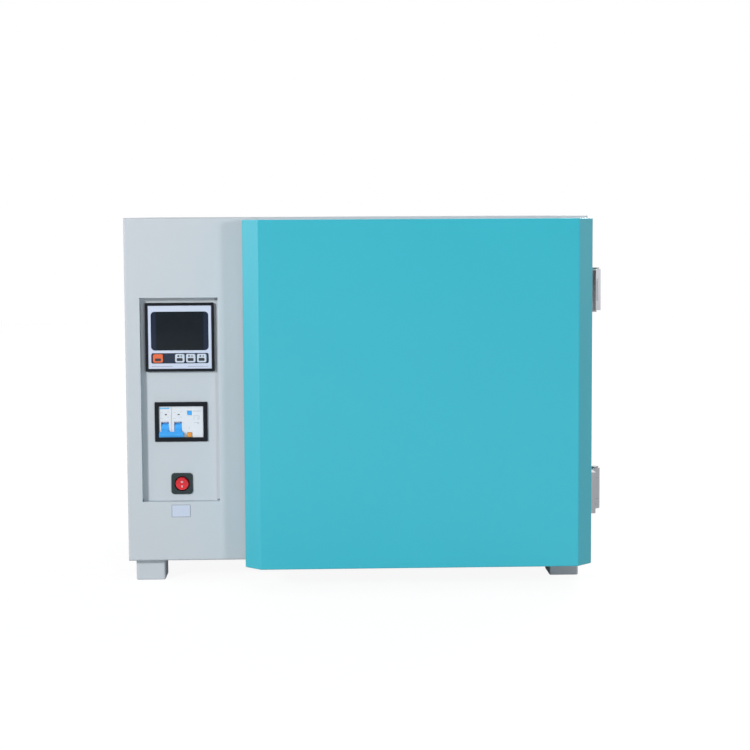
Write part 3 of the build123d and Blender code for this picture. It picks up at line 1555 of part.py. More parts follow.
block_x = cabinet_left + block_left_margin + block_length / 2
block_y = cabinet_back - block_rear_margin
with BuildPart() as terminal_block:
    with BuildSketch(level_plane(cabinet_bottom + sheet)):
        with Locations((block_x, block_y)):
            Rectangle(block_length, block_width)
    extrude(amount=block_height)
    with BuildSketch(level_plane(cabinet_bottom + sheet + block_height)):
        with Locations((block_x, block_y)):
            barrier_pitch = (block_length - block_barrier_sheet) / (block_barriers - 1)
            with GridLocations(barrier_pitch, 0, block_barriers, 1):
                Rectangle(block_barrier_sheet, block_width)
    extrude(amount=block_barrier_rise)
terminal_block.part.label = "terminal_block"
export_step(terminal_block.part, "parts/terminal_block.step")
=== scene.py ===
"""Looks of a benchtop laboratory incubator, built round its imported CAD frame. Metres throughout.

+X is to the right of someone facing the door, +Y runs to the back and +Z is up.
"""

import json
from math import atan2, cos, pi, radians, sin

import bmesh
import bpy
from mathutils import Matrix, Vector


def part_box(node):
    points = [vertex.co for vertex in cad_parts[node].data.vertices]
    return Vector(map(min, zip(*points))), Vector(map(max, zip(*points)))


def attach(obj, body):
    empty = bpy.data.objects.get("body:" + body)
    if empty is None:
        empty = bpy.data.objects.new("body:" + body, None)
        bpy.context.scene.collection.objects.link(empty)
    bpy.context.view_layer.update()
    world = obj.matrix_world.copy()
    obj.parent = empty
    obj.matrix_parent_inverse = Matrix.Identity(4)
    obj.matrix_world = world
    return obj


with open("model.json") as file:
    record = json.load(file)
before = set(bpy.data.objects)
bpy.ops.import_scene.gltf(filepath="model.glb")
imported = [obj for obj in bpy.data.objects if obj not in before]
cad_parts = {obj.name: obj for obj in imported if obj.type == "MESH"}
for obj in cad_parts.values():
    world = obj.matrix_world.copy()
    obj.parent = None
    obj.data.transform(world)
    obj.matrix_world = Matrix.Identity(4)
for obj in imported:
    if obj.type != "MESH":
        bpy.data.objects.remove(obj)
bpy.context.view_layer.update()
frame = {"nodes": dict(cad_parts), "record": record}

mm = 0.001

# Camera, worked out from the photo: its place, its turn and its lens.
camera_place = Vector((-0.0682, -2.7169, 0.5142))
camera_yaw = 0.0333
camera_pitch = 0.0888
camera_roll = -0.0053
lens_per_width = 1812 / 750
sensor_width = 36.0

# Studio light. Shares are parts of the light that a front face gets.
sky_strength = 0.33
key_from = Vector((-0.70, -1.0, 0.42))
key_share = 0.58
key_size = 0.9
fill_from = Vector((0.42, -1.0, 0.10))
fill_share = 0.17
fill_size = 0.6
rear_from = Vector((0.5, 1.0, 0.7))
rear_share = 0.45
rear_size = 2.6
lamp_distance = 6.0
lamp_target = Vector((-0.02, -0.15, 0.27))
floor_half = 6.0
floor_white = 0.62
floor_shade_kept = 0.20
floor_glow = 1.15
open_room_glow = 1.15
dark_room_share = 0.03
side_room_glow = 0.9

# Finishes, as linear colours.
grey_paint = (0.555, 0.602, 0.645)
turquoise_paint = (0.028, 0.475, 0.600)
stainless = (0.60, 0.60, 0.59)
zinc = (0.52, 0.54, 0.55)
hinge_metal = (0.66, 0.68, 0.72)
wire_metal = (0.72, 0.72, 0.72)
aluminium = (0.70, 0.71, 0.72)
black_plastic = (0.007, 0.010, 0.015)
lavender = (0.62, 0.68, 0.83)
screen_black = (0.006, 0.011, 0.016)
screen_side_blue = (0.016, 0.024, 0.048)
keypad_navy = (0.013, 0.026, 0.055)
key_orange = (0.83, 0.16, 0.06)
key_white = (0.62, 0.69, 0.80)
breaker_white = (0.78, 0.81, 0.86)
lever_blue = (0.058, 0.42, 0.96)
button_amber = (0.87, 0.36, 0.07)
switch_green_black = (0.022, 0.036, 0.038)
rocker_red = (0.74, 0.018, 0.030)
label_blank = (0.60, 0.67, 0.82)

# Small pieces and prints.
print_lift = 0.03 * mm
print_depth = 0.05 * mm
rule_depth = 0.04 * mm
label_x, label_z = -257.2 * mm, 100.4 * mm
label_width, label_height, label_depth = 26.3 * mm, 17.5 * mm, 0.25 * mm
label_corner = 0.8 * mm
label_rule_width = 0.6 * mm
recess_inside = (-300 * mm, 0.0, 150 * mm)
hinge_levels = (128.2 * mm, 407.2 * mm)
hinge_screw_offset = 16 * mm
hinge_screw_inset = 6.5 * mm


def smooth_mesh(piece, angle=radians(35)):
    """Smooth shading with the folds sharper than angle kept."""
    piece.data.polygons.foreach_set("use_smooth", [True] * len(piece.data.polygons))
    piece.data.set_sharp_from_angle(angle=angle)


def mesh_piece(name, shape, body, material, smooth=True):
    """Turns a bmesh into a finished piece that rides on a body."""
    mesh = bpy.data.meshes.new(name)
    shape.to_mesh(mesh)
    shape.free()
    piece = bpy.data.objects.new(name, mesh)
    bpy.context.scene.collection.objects.link(piece)
    mesh.materials.append(material)
    if smooth:
        smooth_mesh(piece)
    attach(piece, body)
    return piece


# Node groups that more than one material uses.
def new_group(name, inputs, outputs):
    """A shader node group. inputs and outputs map names to socket types."""
    group = bpy.data.node_groups.new(name, "ShaderNodeTree")
    for socket, (kind, default) in inputs.items():
        made = group.interface.new_socket(socket, in_out="INPUT", socket_type=kind)
        if default is not None:
            made.default_value = default
    for socket, kind in outputs.items():
        group.interface.new_socket(socket, in_out="OUTPUT", socket_type=kind)
    return group, group.nodes.new("NodeGroupInput"), group.nodes.new("NodeGroupOutput")


def add_math(tree, operation, first, second):
    node = tree.nodes.new("ShaderNodeMath")
    node.operation = operation
    for socket, value in zip(node.inputs, (first, second)):
        if isinstance(value, bpy.types.NodeSocket):
            tree.links.new(value, socket)
        else:
            socket.default_value = value
    return node.outputs[0]


def add_noise(tree, coordinates, scale, detail=3.0, roughness=0.5):
    node = tree.nodes.new("ShaderNodeTexNoise")
    node.inputs["Scale"].default_value = scale
    node.inputs["Detail"].default_value = detail
    node.inputs["Roughness"].default_value = roughness
    tree.links.new(coordinates, node.inputs["Vector"])
    return node


def add_range(tree, value, low, high, to_low, to_high):
    node = tree.nodes.new("ShaderNodeMapRange")
    tree.links.new(value, node.inputs["Value"])
    node.inputs["From Min"].default_value = low
    node.inputs["From Max"].default_value = high
    node.inputs["To Min"].default_value = to_low
    node.inputs["To Max"].default_value = to_high
    return node.outputs["Result"]


def add_tint(tree, factor, first, second):
    """A colour mix. first and second are colours or sockets."""
    node = tree.nodes.new("ShaderNodeMix")
    node.data_type = "RGBA"
    tree.links.new(factor, node.inputs["Factor"])
    for socket, value in zip((node.inputs[6], node.inputs[7]), (first, second)):
        if isinstance(value, bpy.types.NodeSocket):
            tree.links.new(value, socket)
        else:
            socket.default_value = (*value, 1.0)
    return node.outputs[2]


def make_round_edges():
    """Rounds the light over folds and says where they are."""
    group, inlet, outlet = new_group(
        "round_edges",
        {"Radius": ("NodeSocketFloat", 0.8 * mm), "Wear": ("NodeSocketFloat", 0.4)},
        {"Normal": "NodeSocketVector", "Edge": "NodeSocketFloat"},
    )
    bevel = group.nodes.new("ShaderNodeBevel")
    bevel.samples = 4
    group.links.new(inlet.outputs["Radius"], bevel.inputs["Radius"])
    facing = group.nodes.new("ShaderNodeNewGeometry")
    dot = group.nodes.new("ShaderNodeVectorMath")
    dot.operation = "DOT_PRODUCT"
    group.links.new(bevel.outputs["Normal"], dot.inputs[0])
    group.links.new(facing.outputs["Normal"], dot.inputs[1])
    edge = add_range(group, dot.outputs["Value"], 0.995, 0.80, 0.0, 1.0)
    coordinates = group.nodes.new("ShaderNodeTexCoord").outputs["Object"]
    patch = add_noise(group, coordinates, 90.0, 4.0, 0.6)
    uneven = add_range(group, patch.outputs["Fac"], 0.42, 0.66, 0.15, 1.0)
    worn = add_math(group, "MULTIPLY", edge, uneven)
    scaled = add_math(group, "MULTIPLY", worn, inlet.outputs["Wear"])
    group.links.new(bevel.outputs["Normal"], outlet.inputs["Normal"])
    group.links.new(scaled, outlet.inputs["Edge"])
    return group


def make_coat_skin():
    """Powder coat: its orange peel as a height, and slow changes of tone and of gloss."""
    group, inlet, outlet = new_group(
        "coat_skin",
        {"Peel": ("NodeSocketFloat", 420.0), "Gloss Change": ("NodeSocketFloat", 0.05)},
        {"Height": "NodeSocketFloat", "Tone": "NodeSocketFloat", "Gloss": "NodeSocketFloat"},
    )
    coordinates = group.nodes.new("ShaderNodeTexCoord").outputs["Object"]
    peel = add_noise(group, coordinates, 420.0, 2.0, 0.45)
    group.links.new(inlet.outputs["Peel"], peel.inputs["Scale"])
    drift = add_noise(group, coordinates, 2.4, 3.0, 0.5)
    tone = add_range(group, drift.outputs["Fac"], 0.3, 0.7, 0.0, 1.0)
    smear = add_noise(group, coordinates, 14.0, 4.0, 0.6)
    gloss = add_math(group, "MULTIPLY", smear.outputs["Fac"], inlet.outputs["Gloss Change"])
    group.links.new(peel.outputs["Fac"], outlet.inputs["Height"])
    group.links.new(tone, outlet.inputs["Tone"])
    group.links.new(gloss, outlet.inputs["Gloss"])
    return group


def make_brushing():
    """Fine lines along one direction, as on brushed or rolled metal."""
    group, inlet, outlet = new_group(
        "brushing",
        {"Stretch": ("NodeSocketVector", (1.0, 1.0, 1.0)), "Scale": ("NodeSocketFloat", 60.0)},
        {"Height": "NodeSocketFloat", "Streak": "NodeSocketFloat"},
    )
    coordinates = group.nodes.new("ShaderNodeTexCoord").outputs["Object"]
    stretch = group.nodes.new("ShaderNodeVectorMath")
    stretch.operation = "MULTIPLY"
    group.links.new(coordinates, stretch.inputs[0])
    group.links.new(inlet.outputs["Stretch"], stretch.inputs[1])
    lines = add_noise(group, stretch.outputs["Vector"], 60.0, 5.0, 0.65)
    group.links.new(inlet.outputs["Scale"], lines.inputs["Scale"])
    streak = add_noise(group, stretch.outputs["Vector"], 9.0, 3.0, 0.5)
    group.links.new(lines.outputs["Fac"], outlet.inputs["Height"])
    group.links.new(streak.outputs["Fac"], outlet.inputs["Streak"])
    return group


round_edges = make_round_edges()
coat_skin = make_coat_skin()
brushing = make_brushing()


def new_material(name):
    material = bpy.data.materials.new(name)
    material.use_nodes = True
    tree = material.node_tree
    return material, tree, tree.nodes["Principled BSDF"]


def add_group(tree, group, **values):
    node = tree.nodes.new("ShaderNodeGroup")
    node.node_tree = group
    for name, value in values.items():
        node.inputs[name.replace("_", " ")].default_value = value
    return node


def add_bump(tree, shader, height, strength, distance, normal=None):
    bump = tree.nodes.new("ShaderNodeBump")
    bump.inputs["Strength"].default_value = strength
    bump.inputs["Distance"].default_value = distance
    tree.links.new(height, bump.inputs["Height"])
    if normal is not None:
        tree.links.new(normal, bump.inputs["Normal"])
    tree.links.new(bump.outputs["Normal"], shader.inputs["Normal"])


def shade(colour, factor):
    return tuple(channel * factor for channel in colour)


def lighten(colour, share):
    return tuple(channel + (1 - channel) * share for channel in colour)


def painted(name, colour, roughness, wear=0.35, peel=420.0, depth=0.05, coat=0.0):
    """Powder-coated sheet with orange peel, slow tone changes and slightly worn folds."""
    material, tree, shader = new_material(name)
    edges = add_group(tree, round_edges, Radius=0.7 * mm, Wear=wear)
    skin = add_group(tree, coat_skin, Peel=peel, Gloss_Change=0.10)
    body = add_tint(tree, skin.outputs["Tone"], shade(colour, 0.975), shade(colour, 1.02))
    worn = add_tint(tree, edges.outputs["Edge"], body, lighten(colour, 0.35))
    tree.links.new(worn, shader.inputs["Base Color"])
    gloss = add_math(tree, "ADD", skin.outputs["Gloss"], roughness - 0.05)
    tree.links.new(gloss, shader.inputs["Roughness"])
    shader.inputs["Coat Weight"].default_value = coat
    shader.inputs["Coat Roughness"].default_value = 0.25
    add_bump(tree, shader, skin.outputs["Height"], 0.35, depth * mm, edges.outputs["Normal"])
    return material


def metal(name, colour, roughness, stretch=(1.0, 1.0, 1.0), scale=60.0, depth=0.02, spread=0.10, tint=0.10):
    """Bare metal with lines along one direction and uneven gloss."""
    material, tree, shader = new_material(name)
    edges = add_group(tree, round_edges, Radius=0.5 * mm, Wear=0.5)
    lines = add_group(tree, brushing, Stretch=stretch, Scale=scale)
    body = add_tint(tree, lines.outputs["Streak"], shade(colour, 1 - tint), shade(colour, 1 + tint))
    worn = add_tint(tree, edges.outputs["Edge"], body, lighten(colour, 0.4))
    tree.links.new(worn, shader.inputs["Base Color"])
    low, high = roughness - spread / 2, roughness + spread / 2
    tree.links.new(add_range(tree, lines.outputs["Height"], 0.3, 0.7, low, high), shader.inputs["Roughness"])
    shader.inputs["Metallic"].default_value = 1.0
    add_bump(tree, shader, lines.outputs["Height"], 0.3, depth * mm, edges.outputs["Normal"])
    return material


def moulded(
    name, colour, roughness, grain=1400.0, depth=0.02, wear=0.25, radius=0.3, coat=0.0, shine=0.5,
):
    """Moulded plastic with a fine grain and edges that the mould leaves round."""
    material, tree, shader = new_material(name)
    edges = add_group(tree, round_edges, Radius=radius * mm, Wear=wear)
    skin = add_group(tree, coat_skin, Peel=grain, Gloss_Change=0.08)
    body = add_tint(tree, skin.outputs["Tone"], shade(colour, 0.95), shade(colour, 1.04))
    worn = add_tint(tree, edges.outputs["Edge"], body, lighten(colour, 0.22))
    tree.links.new(worn, shader.inputs["Base Color"])
    gloss = add_math(tree, "ADD", skin.outputs["Gloss"], roughness - 0.04)
    tree.links.new(gloss, shader.inputs["Roughness"])
    shader.inputs["Coat Weight"].default_value = coat
    shader.inputs["Specular IOR Level"].default_value = shine
    add_bump(tree, shader, skin.outputs["Height"], 0.3, depth * mm, edges.outputs["Normal"])
    return material


def fibrous(name, colour):
    """Matted mineral wool: tangled strands, pale and dark."""
    material, tree, shader = new_material(name)
    coordinates = tree.nodes.new("ShaderNodeTexCoord").outputs["Object"]
    strands = add_noise(tree, coordinates, 260.0, 8.0, 0.75)
    strands.inputs["Distortion"].default_value = 2.5
    clumps = add_noise(tree, coordinates, 30.0, 4.0, 0.6)
    mixed = add_math(tree, "ADD", strands.outputs["Fac"], clumps.outputs["Fac"])
    share = add_range(tree, mixed, 0.7, 1.3, 0.0, 1.0)
    tint = add_tint(tree, share, shade(colour, 0.6), lighten(colour, 0.2))
    tree.links.new(tint, shader.inputs["Base Color"])
    shader.inputs["Roughness"].default_value = 0.95
    add_bump(tree, shader, mixed, 0.9, 1.2 * mm)
    return material


def window_screen(name, colour):
    """Smoked window over a display: dark and glossy, a little bluer towards its sides."""
    material, tree, shader = new_material(name)
    low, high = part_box("controller_window")
    coordinates = tree.nodes.new("ShaderNodeTexCoord").outputs["Object"]
    split = tree.nodes.new("ShaderNodeSeparateXYZ")
    tree.links.new(coordinates, split.inputs["Vector"])
    offset = add_math(tree, "SUBTRACT", split.outputs["X"], (low[0] + high[0]) / 2)
    away = add_math(tree, "ABSOLUTE", offset, 0.0)
    half = (high[0] - low[0]) / 2
    side = add_range(tree, away, half * 0.80, half * 0.86, 0.0, 1.0)
    smear = add_noise(tree, coordinates, 40.0, 4.0, 0.6)
    body = add_tint(tree, smear.outputs["Fac"], shade(colour, 0.8), shade(colour, 1.3))
    tint = add_tint(tree, side, body, screen_side_blue)
    tree.links.new(tint, shader.inputs["Base Color"])
    tree.links.new(add_range(tree, smear.outputs["Fac"], 0.3, 0.7, 0.08, 0.22), shader.inputs["Roughness"])
    shader.inputs["Specular IOR Level"].default_value = 0.35
    return material


materials = {
    "painted_grey_sheet": painted("grey_powder_coat", grey_paint, 0.50),
    "painted_turquoise_sheet": painted("turquoise_powder_coat", turquoise_paint, 0.42, wear=0.25, coat=1.0),
    "stainless_sheet": metal("brushed_stainless", stainless, 0.34, (1.0, 1.0, 30.0), 34.0),
    "zinc_plated_sheet": metal("zinc_plated_steel", zinc, 0.46, (1.0, 1.0, 1.0), 24.0, tint=0.16),
    "polished_wire": metal("polished_wire", wire_metal, 0.16, scale=120.0, depth=0.01, spread=0.06, tint=0.05),
    "hinge_casting": metal(
        "plated_hinge", hinge_metal, 0.14, (1.0, 1.0, 0.08), 160.0, depth=0.008, spread=0.05, tint=0.03,
    ),
    "steel_pin": metal("ground_steel", stainless, 0.24, (1.0, 1.0, 12.0), 80.0, tint=0.06),
    "mineral_wool": fibrous("mineral_wool", (0.56, 0.50, 0.34)),
    "silicone_seal": moulded("silicone_seal", (0.42, 0.085, 0.05), 0.55, 700.0, 0.04, wear=0.1, radius=1.0),
    "ferrite_magnet": moulded("ferrite_magnet", (0.030, 0.030, 0.033), 0.6, 900.0, 0.05),
    "fan_aluminium": metal("pressed_aluminium", aluminium, 0.38, scale=30.0, tint=0.08),
    "motor_enamel": painted("motor_enamel", (0.035, 0.040, 0.046), 0.40, peel=700.0),
    "heater_sheath": metal("heater_sheath", (0.30, 0.25, 0.22), 0.55, scale=70.0, tint=0.25),
    "black_plastic": moulded("black_plastic", black_plastic, 0.34, wear=0.06, shine=0.3),
    "faceplate_lavender": moulded("faceplate_film", lavender, 0.36, 2600.0, 0.008, wear=0.0),
    "window_smoke": window_screen("display_window", screen_black),
    "keypad_navy": moulded("keypad_film", keypad_navy, 0.40, 2200.0, 0.01, wear=0.0),
    "key_orange": moulded("orange_key", key_orange, 0.40, 2600.0, 0.008, wear=0.15),
    "key_white": moulded("white_key", key_white, 0.40, 2600.0, 0.008, wear=0.0),
    "breaker_white": moulded("breaker_plastic", breaker_white, 0.38, 1500.0, 0.02, wear=0.0),
    "lever_blue": moulded("blue_lever", lever_blue, 0.34, 1500.0, 0.02, wear=0.15),
    "button_amber": moulded("amber_button", button_amber, 0.36, 1500.0, 0.02, wear=0.1),
    "switch_charcoal": moulded("switch_plastic", switch_green_black, 0.36, 1300.0, 0.02),
    "rocker_red": moulded("red_rocker", rocker_red, 0.24, 1800.0, 0.01, wear=0.1, coat=0.5),
    "sink_aluminium": metal("anodised_aluminium", (0.38, 0.39, 0.40), 0.42, (1.0, 1.0, 20.0), 40.0),
    "relay_grey": moulded("relay_plastic", (0.45, 0.46, 0.46), 0.5),
}
for entry in frame["record"]["subparts"]:
    node = frame["nodes"][entry["node"]]
    node.data.materials.clear()
    node.data.materials.append(materials[entry["material_slot"]])


def print_ink(name, colour, roughness=0.5):
    """Printed ink, a touch uneven."""
    material, tree, shader = new_material(name)
    coordinates = tree.nodes.new("ShaderNodeTexCoord").outputs["Object"]
    speckle = add_noise(tree, coordinates, 1800.0, 3.0, 0.6)
    tint = add_tint(tree, speckle.outputs["Fac"], shade(colour, 0.88), lighten(colour, 0.05))
    tree.links.new(tint, shader.inputs["Base Color"])
    shader.inputs["Roughness"].default_value = roughness
    return material


dark_ink = print_ink("dark_ink", (0.012, 0.014, 0.022))
# This grey is print ink, and is also used as painted shade at the recess's lower corners.
grey_ink_and_painted_shade = print_ink("grey_ink_and_painted_shade", (0.19, 0.21, 0.25))
blue_ink = print_ink("blue_ink", (0.14, 0.52, 0.90))
white_ink = print_ink("white_ink", (0.78, 0.78, 0.80))
label_paper = print_ink("label_paper", label_blank, 0.35)
pale_ink = print_ink("pale_ink", (0.40, 0.42, 0.47))
amber_ink = print_ink("amber_ink", (0.50, 0.15, 0.03))
fastener_steel = metal("screw_steel", (0.56, 0.57, 0.58), 0.30, scale=150.0, tint=0.1)


# Places on the part. Each is a matrix whose Z points out of the surface.
def facing(place, out):
    """The place with Z along out and Y upward. out is never straight up."""
    out = Vector(out).normalized()
    across = Vector((0, 0, 1)).cross(out).normalized()
    turn = Matrix((across, out.cross(across), out)).transposed()
    return Matrix.Translation(Vector(place)) @ turn.to_4x4()


def meet(node, place, out):
    """The point where a line along -out meets a CAD node, and the surface's normal there."""
    hit, point, normal, _ = frame["nodes"][node].ray_cast(Vector(place), -Vector(out))
    if not hit:
        raise ValueError(f"nothing of {node} lies behind {place}")
    return point, normal


def on_surface(node, place, out):
    """A place just off a CAD node, facing as its surface does there."""
    point, normal = meet(node, place, out)
    return facing(point + normal * print_lift, normal)


def add_plate(shape, place, width, height, thickness, corner=0.0, hollow=0.0):
    """A thin plate with round corners, or its rim alone where hollow gives the rim's width."""
    made = bmesh.ops.create_grid(shape, x_segments=1, y_segments=1, size=0.5)["verts"]
    bmesh.ops.scale(shape, vec=(width, height, 1), verts=made)
    if corner:
        rounded = bmesh.ops.bevel(
            shape, geom=made, offset=corner, offset_type="OFFSET", affect="VERTICES",
            segments=4, profile=0.5, material=-1,
        )
        made = rounded["verts"]
    faces = [made[0].link_faces[0]]
    if hollow:
        inner = faces[0]
        ring = bmesh.ops.inset_region(
            shape, faces=faces, thickness=hollow, use_boundary=True, use_even_offset=True,
        )
        faces = ring["faces"]
        bmesh.ops.delete(shape, geom=[inner], context="FACES_ONLY")
    made = {vert for face in faces for vert in face.verts}
    grown = bmesh.ops.extrude_face_region(shape, geom=faces)["geom"]
    raised = [item for item in grown if isinstance(item, bmesh.types.BMVert)]
    bmesh.ops.translate(shape, vec=(0, 0, thickness), verts=raised)
    bmesh.ops.transform(shape, matrix=place, verts=list(made.union(raised)))


def add_screw(shape, place, radius, height):
    """A cross-recess screw head: a round grid, domed, with its middle cells pushed in."""
    made = bmesh.ops.create_grid(shape, x_segments=5, y_segments=5, size=1.0)["verts"]
    for vert in made:
        reach = max(abs(vert.co.x), abs(vert.co.y))
        if reach > 0.9:
            vert.co.normalize()
        vert.co.z = height / radius * (1 - 0.4 * vert.co.length**2)
    faces = {face for vert in made for face in vert.link_faces}
    cross = []
    for face in faces:
        middle = face.calc_center_median()
        if abs(middle.x) + abs(middle.y) < 0.55:
            cross.append(face)
    rim = [edge for face in faces for edge in face.edges if edge.is_boundary]
    skirt = bmesh.ops.extrude_edge_only(shape, edges=list(set(rim)))["geom"]
    lower = [item for item in skirt if isinstance(item, bmesh.types.BMVert)]
    for vert in lower:
        vert.co.z = 0.0
    pushed = bmesh.ops.extrude_face_region(shape, geom=cross)["geom"]
    bottom = [item for item in pushed if isinstance(item, bmesh.types.BMVert)]
    bmesh.ops.delete(shape, geom=cross, context="FACES_ONLY")
    bmesh.ops.translate(shape, vec=(0, 0, -0.6 * height / radius), verts=bottom)
    bmesh.ops.scale(shape, vec=(0.8, 0.8, 1.0), verts=bottom)
    everything = made + lower + bottom
    bmesh.ops.scale(shape, vec=(radius,) * 3, verts=everything)
    bmesh.ops.transform(shape, matrix=place, verts=everything)


def prints(name, node, body, material, marks):
    """Thin marks on a node's front. A mark is x, z, width, height, corner and rim width, in millimetres."""
    shape = bmesh.new()
    for x, z, width, height, corner, hollow in marks:
        place = on_surface(node, (x * mm, -1.0, z * mm), (0, -1, 0))
        add_plate(shape, place, width * mm, height * mm, print_depth, corner * mm, hollow * mm)
    bmesh.ops.recalc_face_normals(shape, faces=shape.faces)
    return mesh_piece(name, shape, body, material)


def middle_of(node):
    low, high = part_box(node)
    return [(low[axis] + high[axis]) / 2 / mm for axis in range(3)]


def size_of(node):
    low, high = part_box(node)
    return [(high[axis] - low[axis]) / mm for axis in range(3)]


# Prints, small plates and painted corner shade on the control strip. Numbers are millimetres.
def dress_keys():
    for number in (1, 2, 3):
        node = f"key_white_{number}"
        x, _, z = middle_of(node)
        marks = [(x - 0.2, z - 1.7, 8.2, 4.2, 1.2, 0.0)]
        if number == 1:
            marks += [(x - 2.0, z + 3.2, 2.9, 2.4, 1.1, 0.0), (x + 2.2, z + 3.2, 1.9, 2.4, 0.0, 0.5)]
        elif number == 2:
            marks += [(x - 2.4, z + 3.2, 2.2, 2.6, 1.0, 0.0), (x + 1.6, z + 3.0, 3.2, 2.0, 0.9, 0.5)]
        else:
            marks += [(x - 1.9, z + 3.0, 2.4, 2.4, 1.1, 0.0), (x + 2.2, z + 3.0, 1.2, 2.2, 0.0, 0.0)]
        prints(f"marks_on_{node}", node, f"white_key_{number}", dark_ink, marks)
    x, _, z = middle_of("key_set")
    prints("mark_on_key_set", "key_set", "set_key", dark_ink, [(x, z - 1.9, 8.2, 3.8, 1.0, 0.0)])


def dress_faceplate():
    x, _, z = middle_of("controller_faceplate")
    low = z - size_of("controller_faceplate")[2] / 2
    rules = [(x - 25.0, low + 3.3, 29.0, 0.45, 0.0, 0.0), (x + 25.0, low + 3.3, 29.0, 0.45, 0.0, 0.0)]
    prints("faceplate_rules", "controller_faceplate", "cabinet", grey_ink_and_painted_shade, rules)


def dress_breaker():
    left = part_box("breaker_body")[0][0] / mm
    x, _, z = middle_of("breaker_frame")
    top = z + size_of("leakage_module")[2] / 2 - 18.0
    prints(
        "breaker_blue_print", "breaker_body", "cabinet", blue_ink,
        [(left + 8.4, top - 3.4, 13.6, 2.1, 0.3, 0.0)],
    )
    dark_marks = [(left + 10.2, top - 12.3, 2.7, 1.7, 0.5, 0.0), (left + 28.0, top - 12.3, 2.9, 1.6, 0.5, 0.0)]
    prints("breaker_dark_print", "breaker_body", "cabinet", dark_ink, dark_marks)
    grey_marks = []
    for pole in (left + 9.0, left + 27.0):
        grey_marks += [
            (pole - 4.8, top - 9.6, 3.6, 0.35, 0.0, 0.0),
            (pole + 4.6, top - 8.6, 3.2, 0.35, 0.0, 0.0),
            (pole - 4.6, top - 17.6, 4.6, 0.35, 0.0, 0.0),
            (pole + 4.2, top - 15.8, 3.4, 0.35, 0.0, 0.0),
        ]
    prints("breaker_grey_print", "breaker_body", "cabinet", pale_ink, grey_marks)
    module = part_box("leakage_module")[0][0] / mm
    circuit = [
        (module + 17.6, top - 7.6, 12.0, 0.55, 0.0, 0.0),
        (module + 16.6, top - 14.2, 8.4, 0.4, 0.0, 0.0),
        (module + 20.6, top - 15.6, 0.4, 2.6, 0.0, 0.0),
        (module + 19.6, top - 18.2, 2.6, 2.6, 1.2, 0.35),
        (module + 13.4, top - 17.4, 0.4, 6.4, 0.0, 0.0),
        (module + 16.4, top - 23.6, 6.4, 0.4, 0.0, 0.0),
        (module + 19.4, top - 24.8, 2.4, 1.8, 0.5, 0.35),
        (module + 6.6, top - 31.2, 0.5, 2.4, 0.0, 0.0),
    ]
    prints("module_grey_print", "leakage_module", "cabinet", pale_ink, circuit)
    x, _, z = middle_of("breaker_test_button")
    letter = [(x, z + 1.2, 2.4, 0.5, 0.0, 0.0), (x, z - 0.3, 0.5, 2.6, 0.0, 0.0)]
    prints("test_button_mark", "breaker_test_button", "test_button", amber_ink, letter)


def dress_switch():
    x, _, z = middle_of("power_rocker")
    marks = [(x, z + 2.4, 3.2, 2.6, 1.2, 0.7), (x, z - 4.0, 1.4, 2.6, 0.0, 0.0)]
    prints("rocker_marks", "power_rocker", "rocker", white_ink, marks)


def dress_label():
    """The plate below the recess. It is bare, because the real one's words belong to its maker."""
    place = on_surface("control_fascia", (label_x, -1.0, label_z), (0, -1, 0))
    shape = bmesh.new()
    add_plate(shape, place, label_width, label_height, label_depth, label_corner)
    bmesh.ops.recalc_face_normals(shape, faces=shape.faces)
    mesh_piece("blank_label", shape, "cabinet", label_paper)
    rim = bmesh.new()
    front = place @ Matrix.Translation((0, 0, label_depth))
    add_plate(rim, front, label_width, label_height, rule_depth, label_corner, label_rule_width)
    bmesh.ops.recalc_face_normals(rim, faces=rim.faces)
    mesh_piece("blank_label_rule", rim, "cabinet", grey_ink_and_painted_shade)


def paint_recess_corner_shade():
    """Dark grey plates at the lower corners of the recess: painted shade where the bend reliefs leave a gap."""
    front_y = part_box("control_fascia")[0][1]
    back_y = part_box("instrument_panel")[0][1]
    depth = back_y - front_y
    inside = Vector(recess_inside)
    inside.y = (front_y + back_y) / 2
    floor_z = meet("control_fascia", inside, (0, 0, 1))[0].z + print_lift
    right_x = meet("control_fascia", inside, (-1, 0, 0))[0].x - print_lift
    left = on_surface("control_fascia", (inside.x, inside.y, floor_z + 1.4 * mm), (1, 0, 0))
    right = on_surface("instrument_panel", (right_x - 2.4 * mm, -1.0, floor_z + 0.9 * mm), (0, -1, 0))
    shape = bmesh.new()
    # Both plates are painted shade: one on the left wall by the floor, one on the panel by the right corner.
    add_plate(shape, left, 0.9 * depth, 2.6 * mm, rule_depth, 0.4 * mm)
    add_plate(shape, right, 3.8 * mm, 1.5 * mm, rule_depth, 0.4 * mm)
    bmesh.ops.recalc_face_normals(shape, faces=shape.faces)
    mesh_piece("recess_corner_painted_shade", shape, "cabinet", grey_ink_and_painted_shade)


# Fasteners, which the source leaves out.
def fasteners(name, node, body, out, places, radius, height):
    """Screws on a node, each left at its own turn. places are points in front of it, in metres."""
    shape = bmesh.new()
    for place in places:
        seat = on_surface(node, place, out)
        turn = Matrix.Rotation(37.0 * (place[0] + 3 * place[1] + 7 * place[2]) / mm, 4, "Z")
        add_screw(shape, seat @ turn, radius, height)
    bmesh.ops.recalc_face_normals(shape, faces=shape.faces)
    return mesh_piece(name, shape, body, fastener_steel)


def rim_points(low, high, inset, across_count, up_count):
    """Points round a rectangle given by two corners, inset from its edge."""
    left, right = low[0] + inset, high[0] - inset
    bottom, top = low[1] + inset, high[1] - inset
    points = []
    for number in range(across_count):
        place = left + (right - left) * number / (across_count - 1)
        points += [(place, bottom), (place, top)]
    for number in range(1, up_count - 1):
        place = bottom + (top - bottom) * number / (up_count - 1)
        points += [(left, place), (right, place)]
    return points


def fasten_back():
    low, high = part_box("back_panel")
    points = rim_points((low[0], low[2]), (high[0], high[2]), 9 * mm, 5, 4)
    places = [(x, 1.0, z) for x, z in points]
    fasteners("back_screws", "back_panel", "cabinet", (0, 1, 0), places, 3.4 * mm, 1.9 * mm)


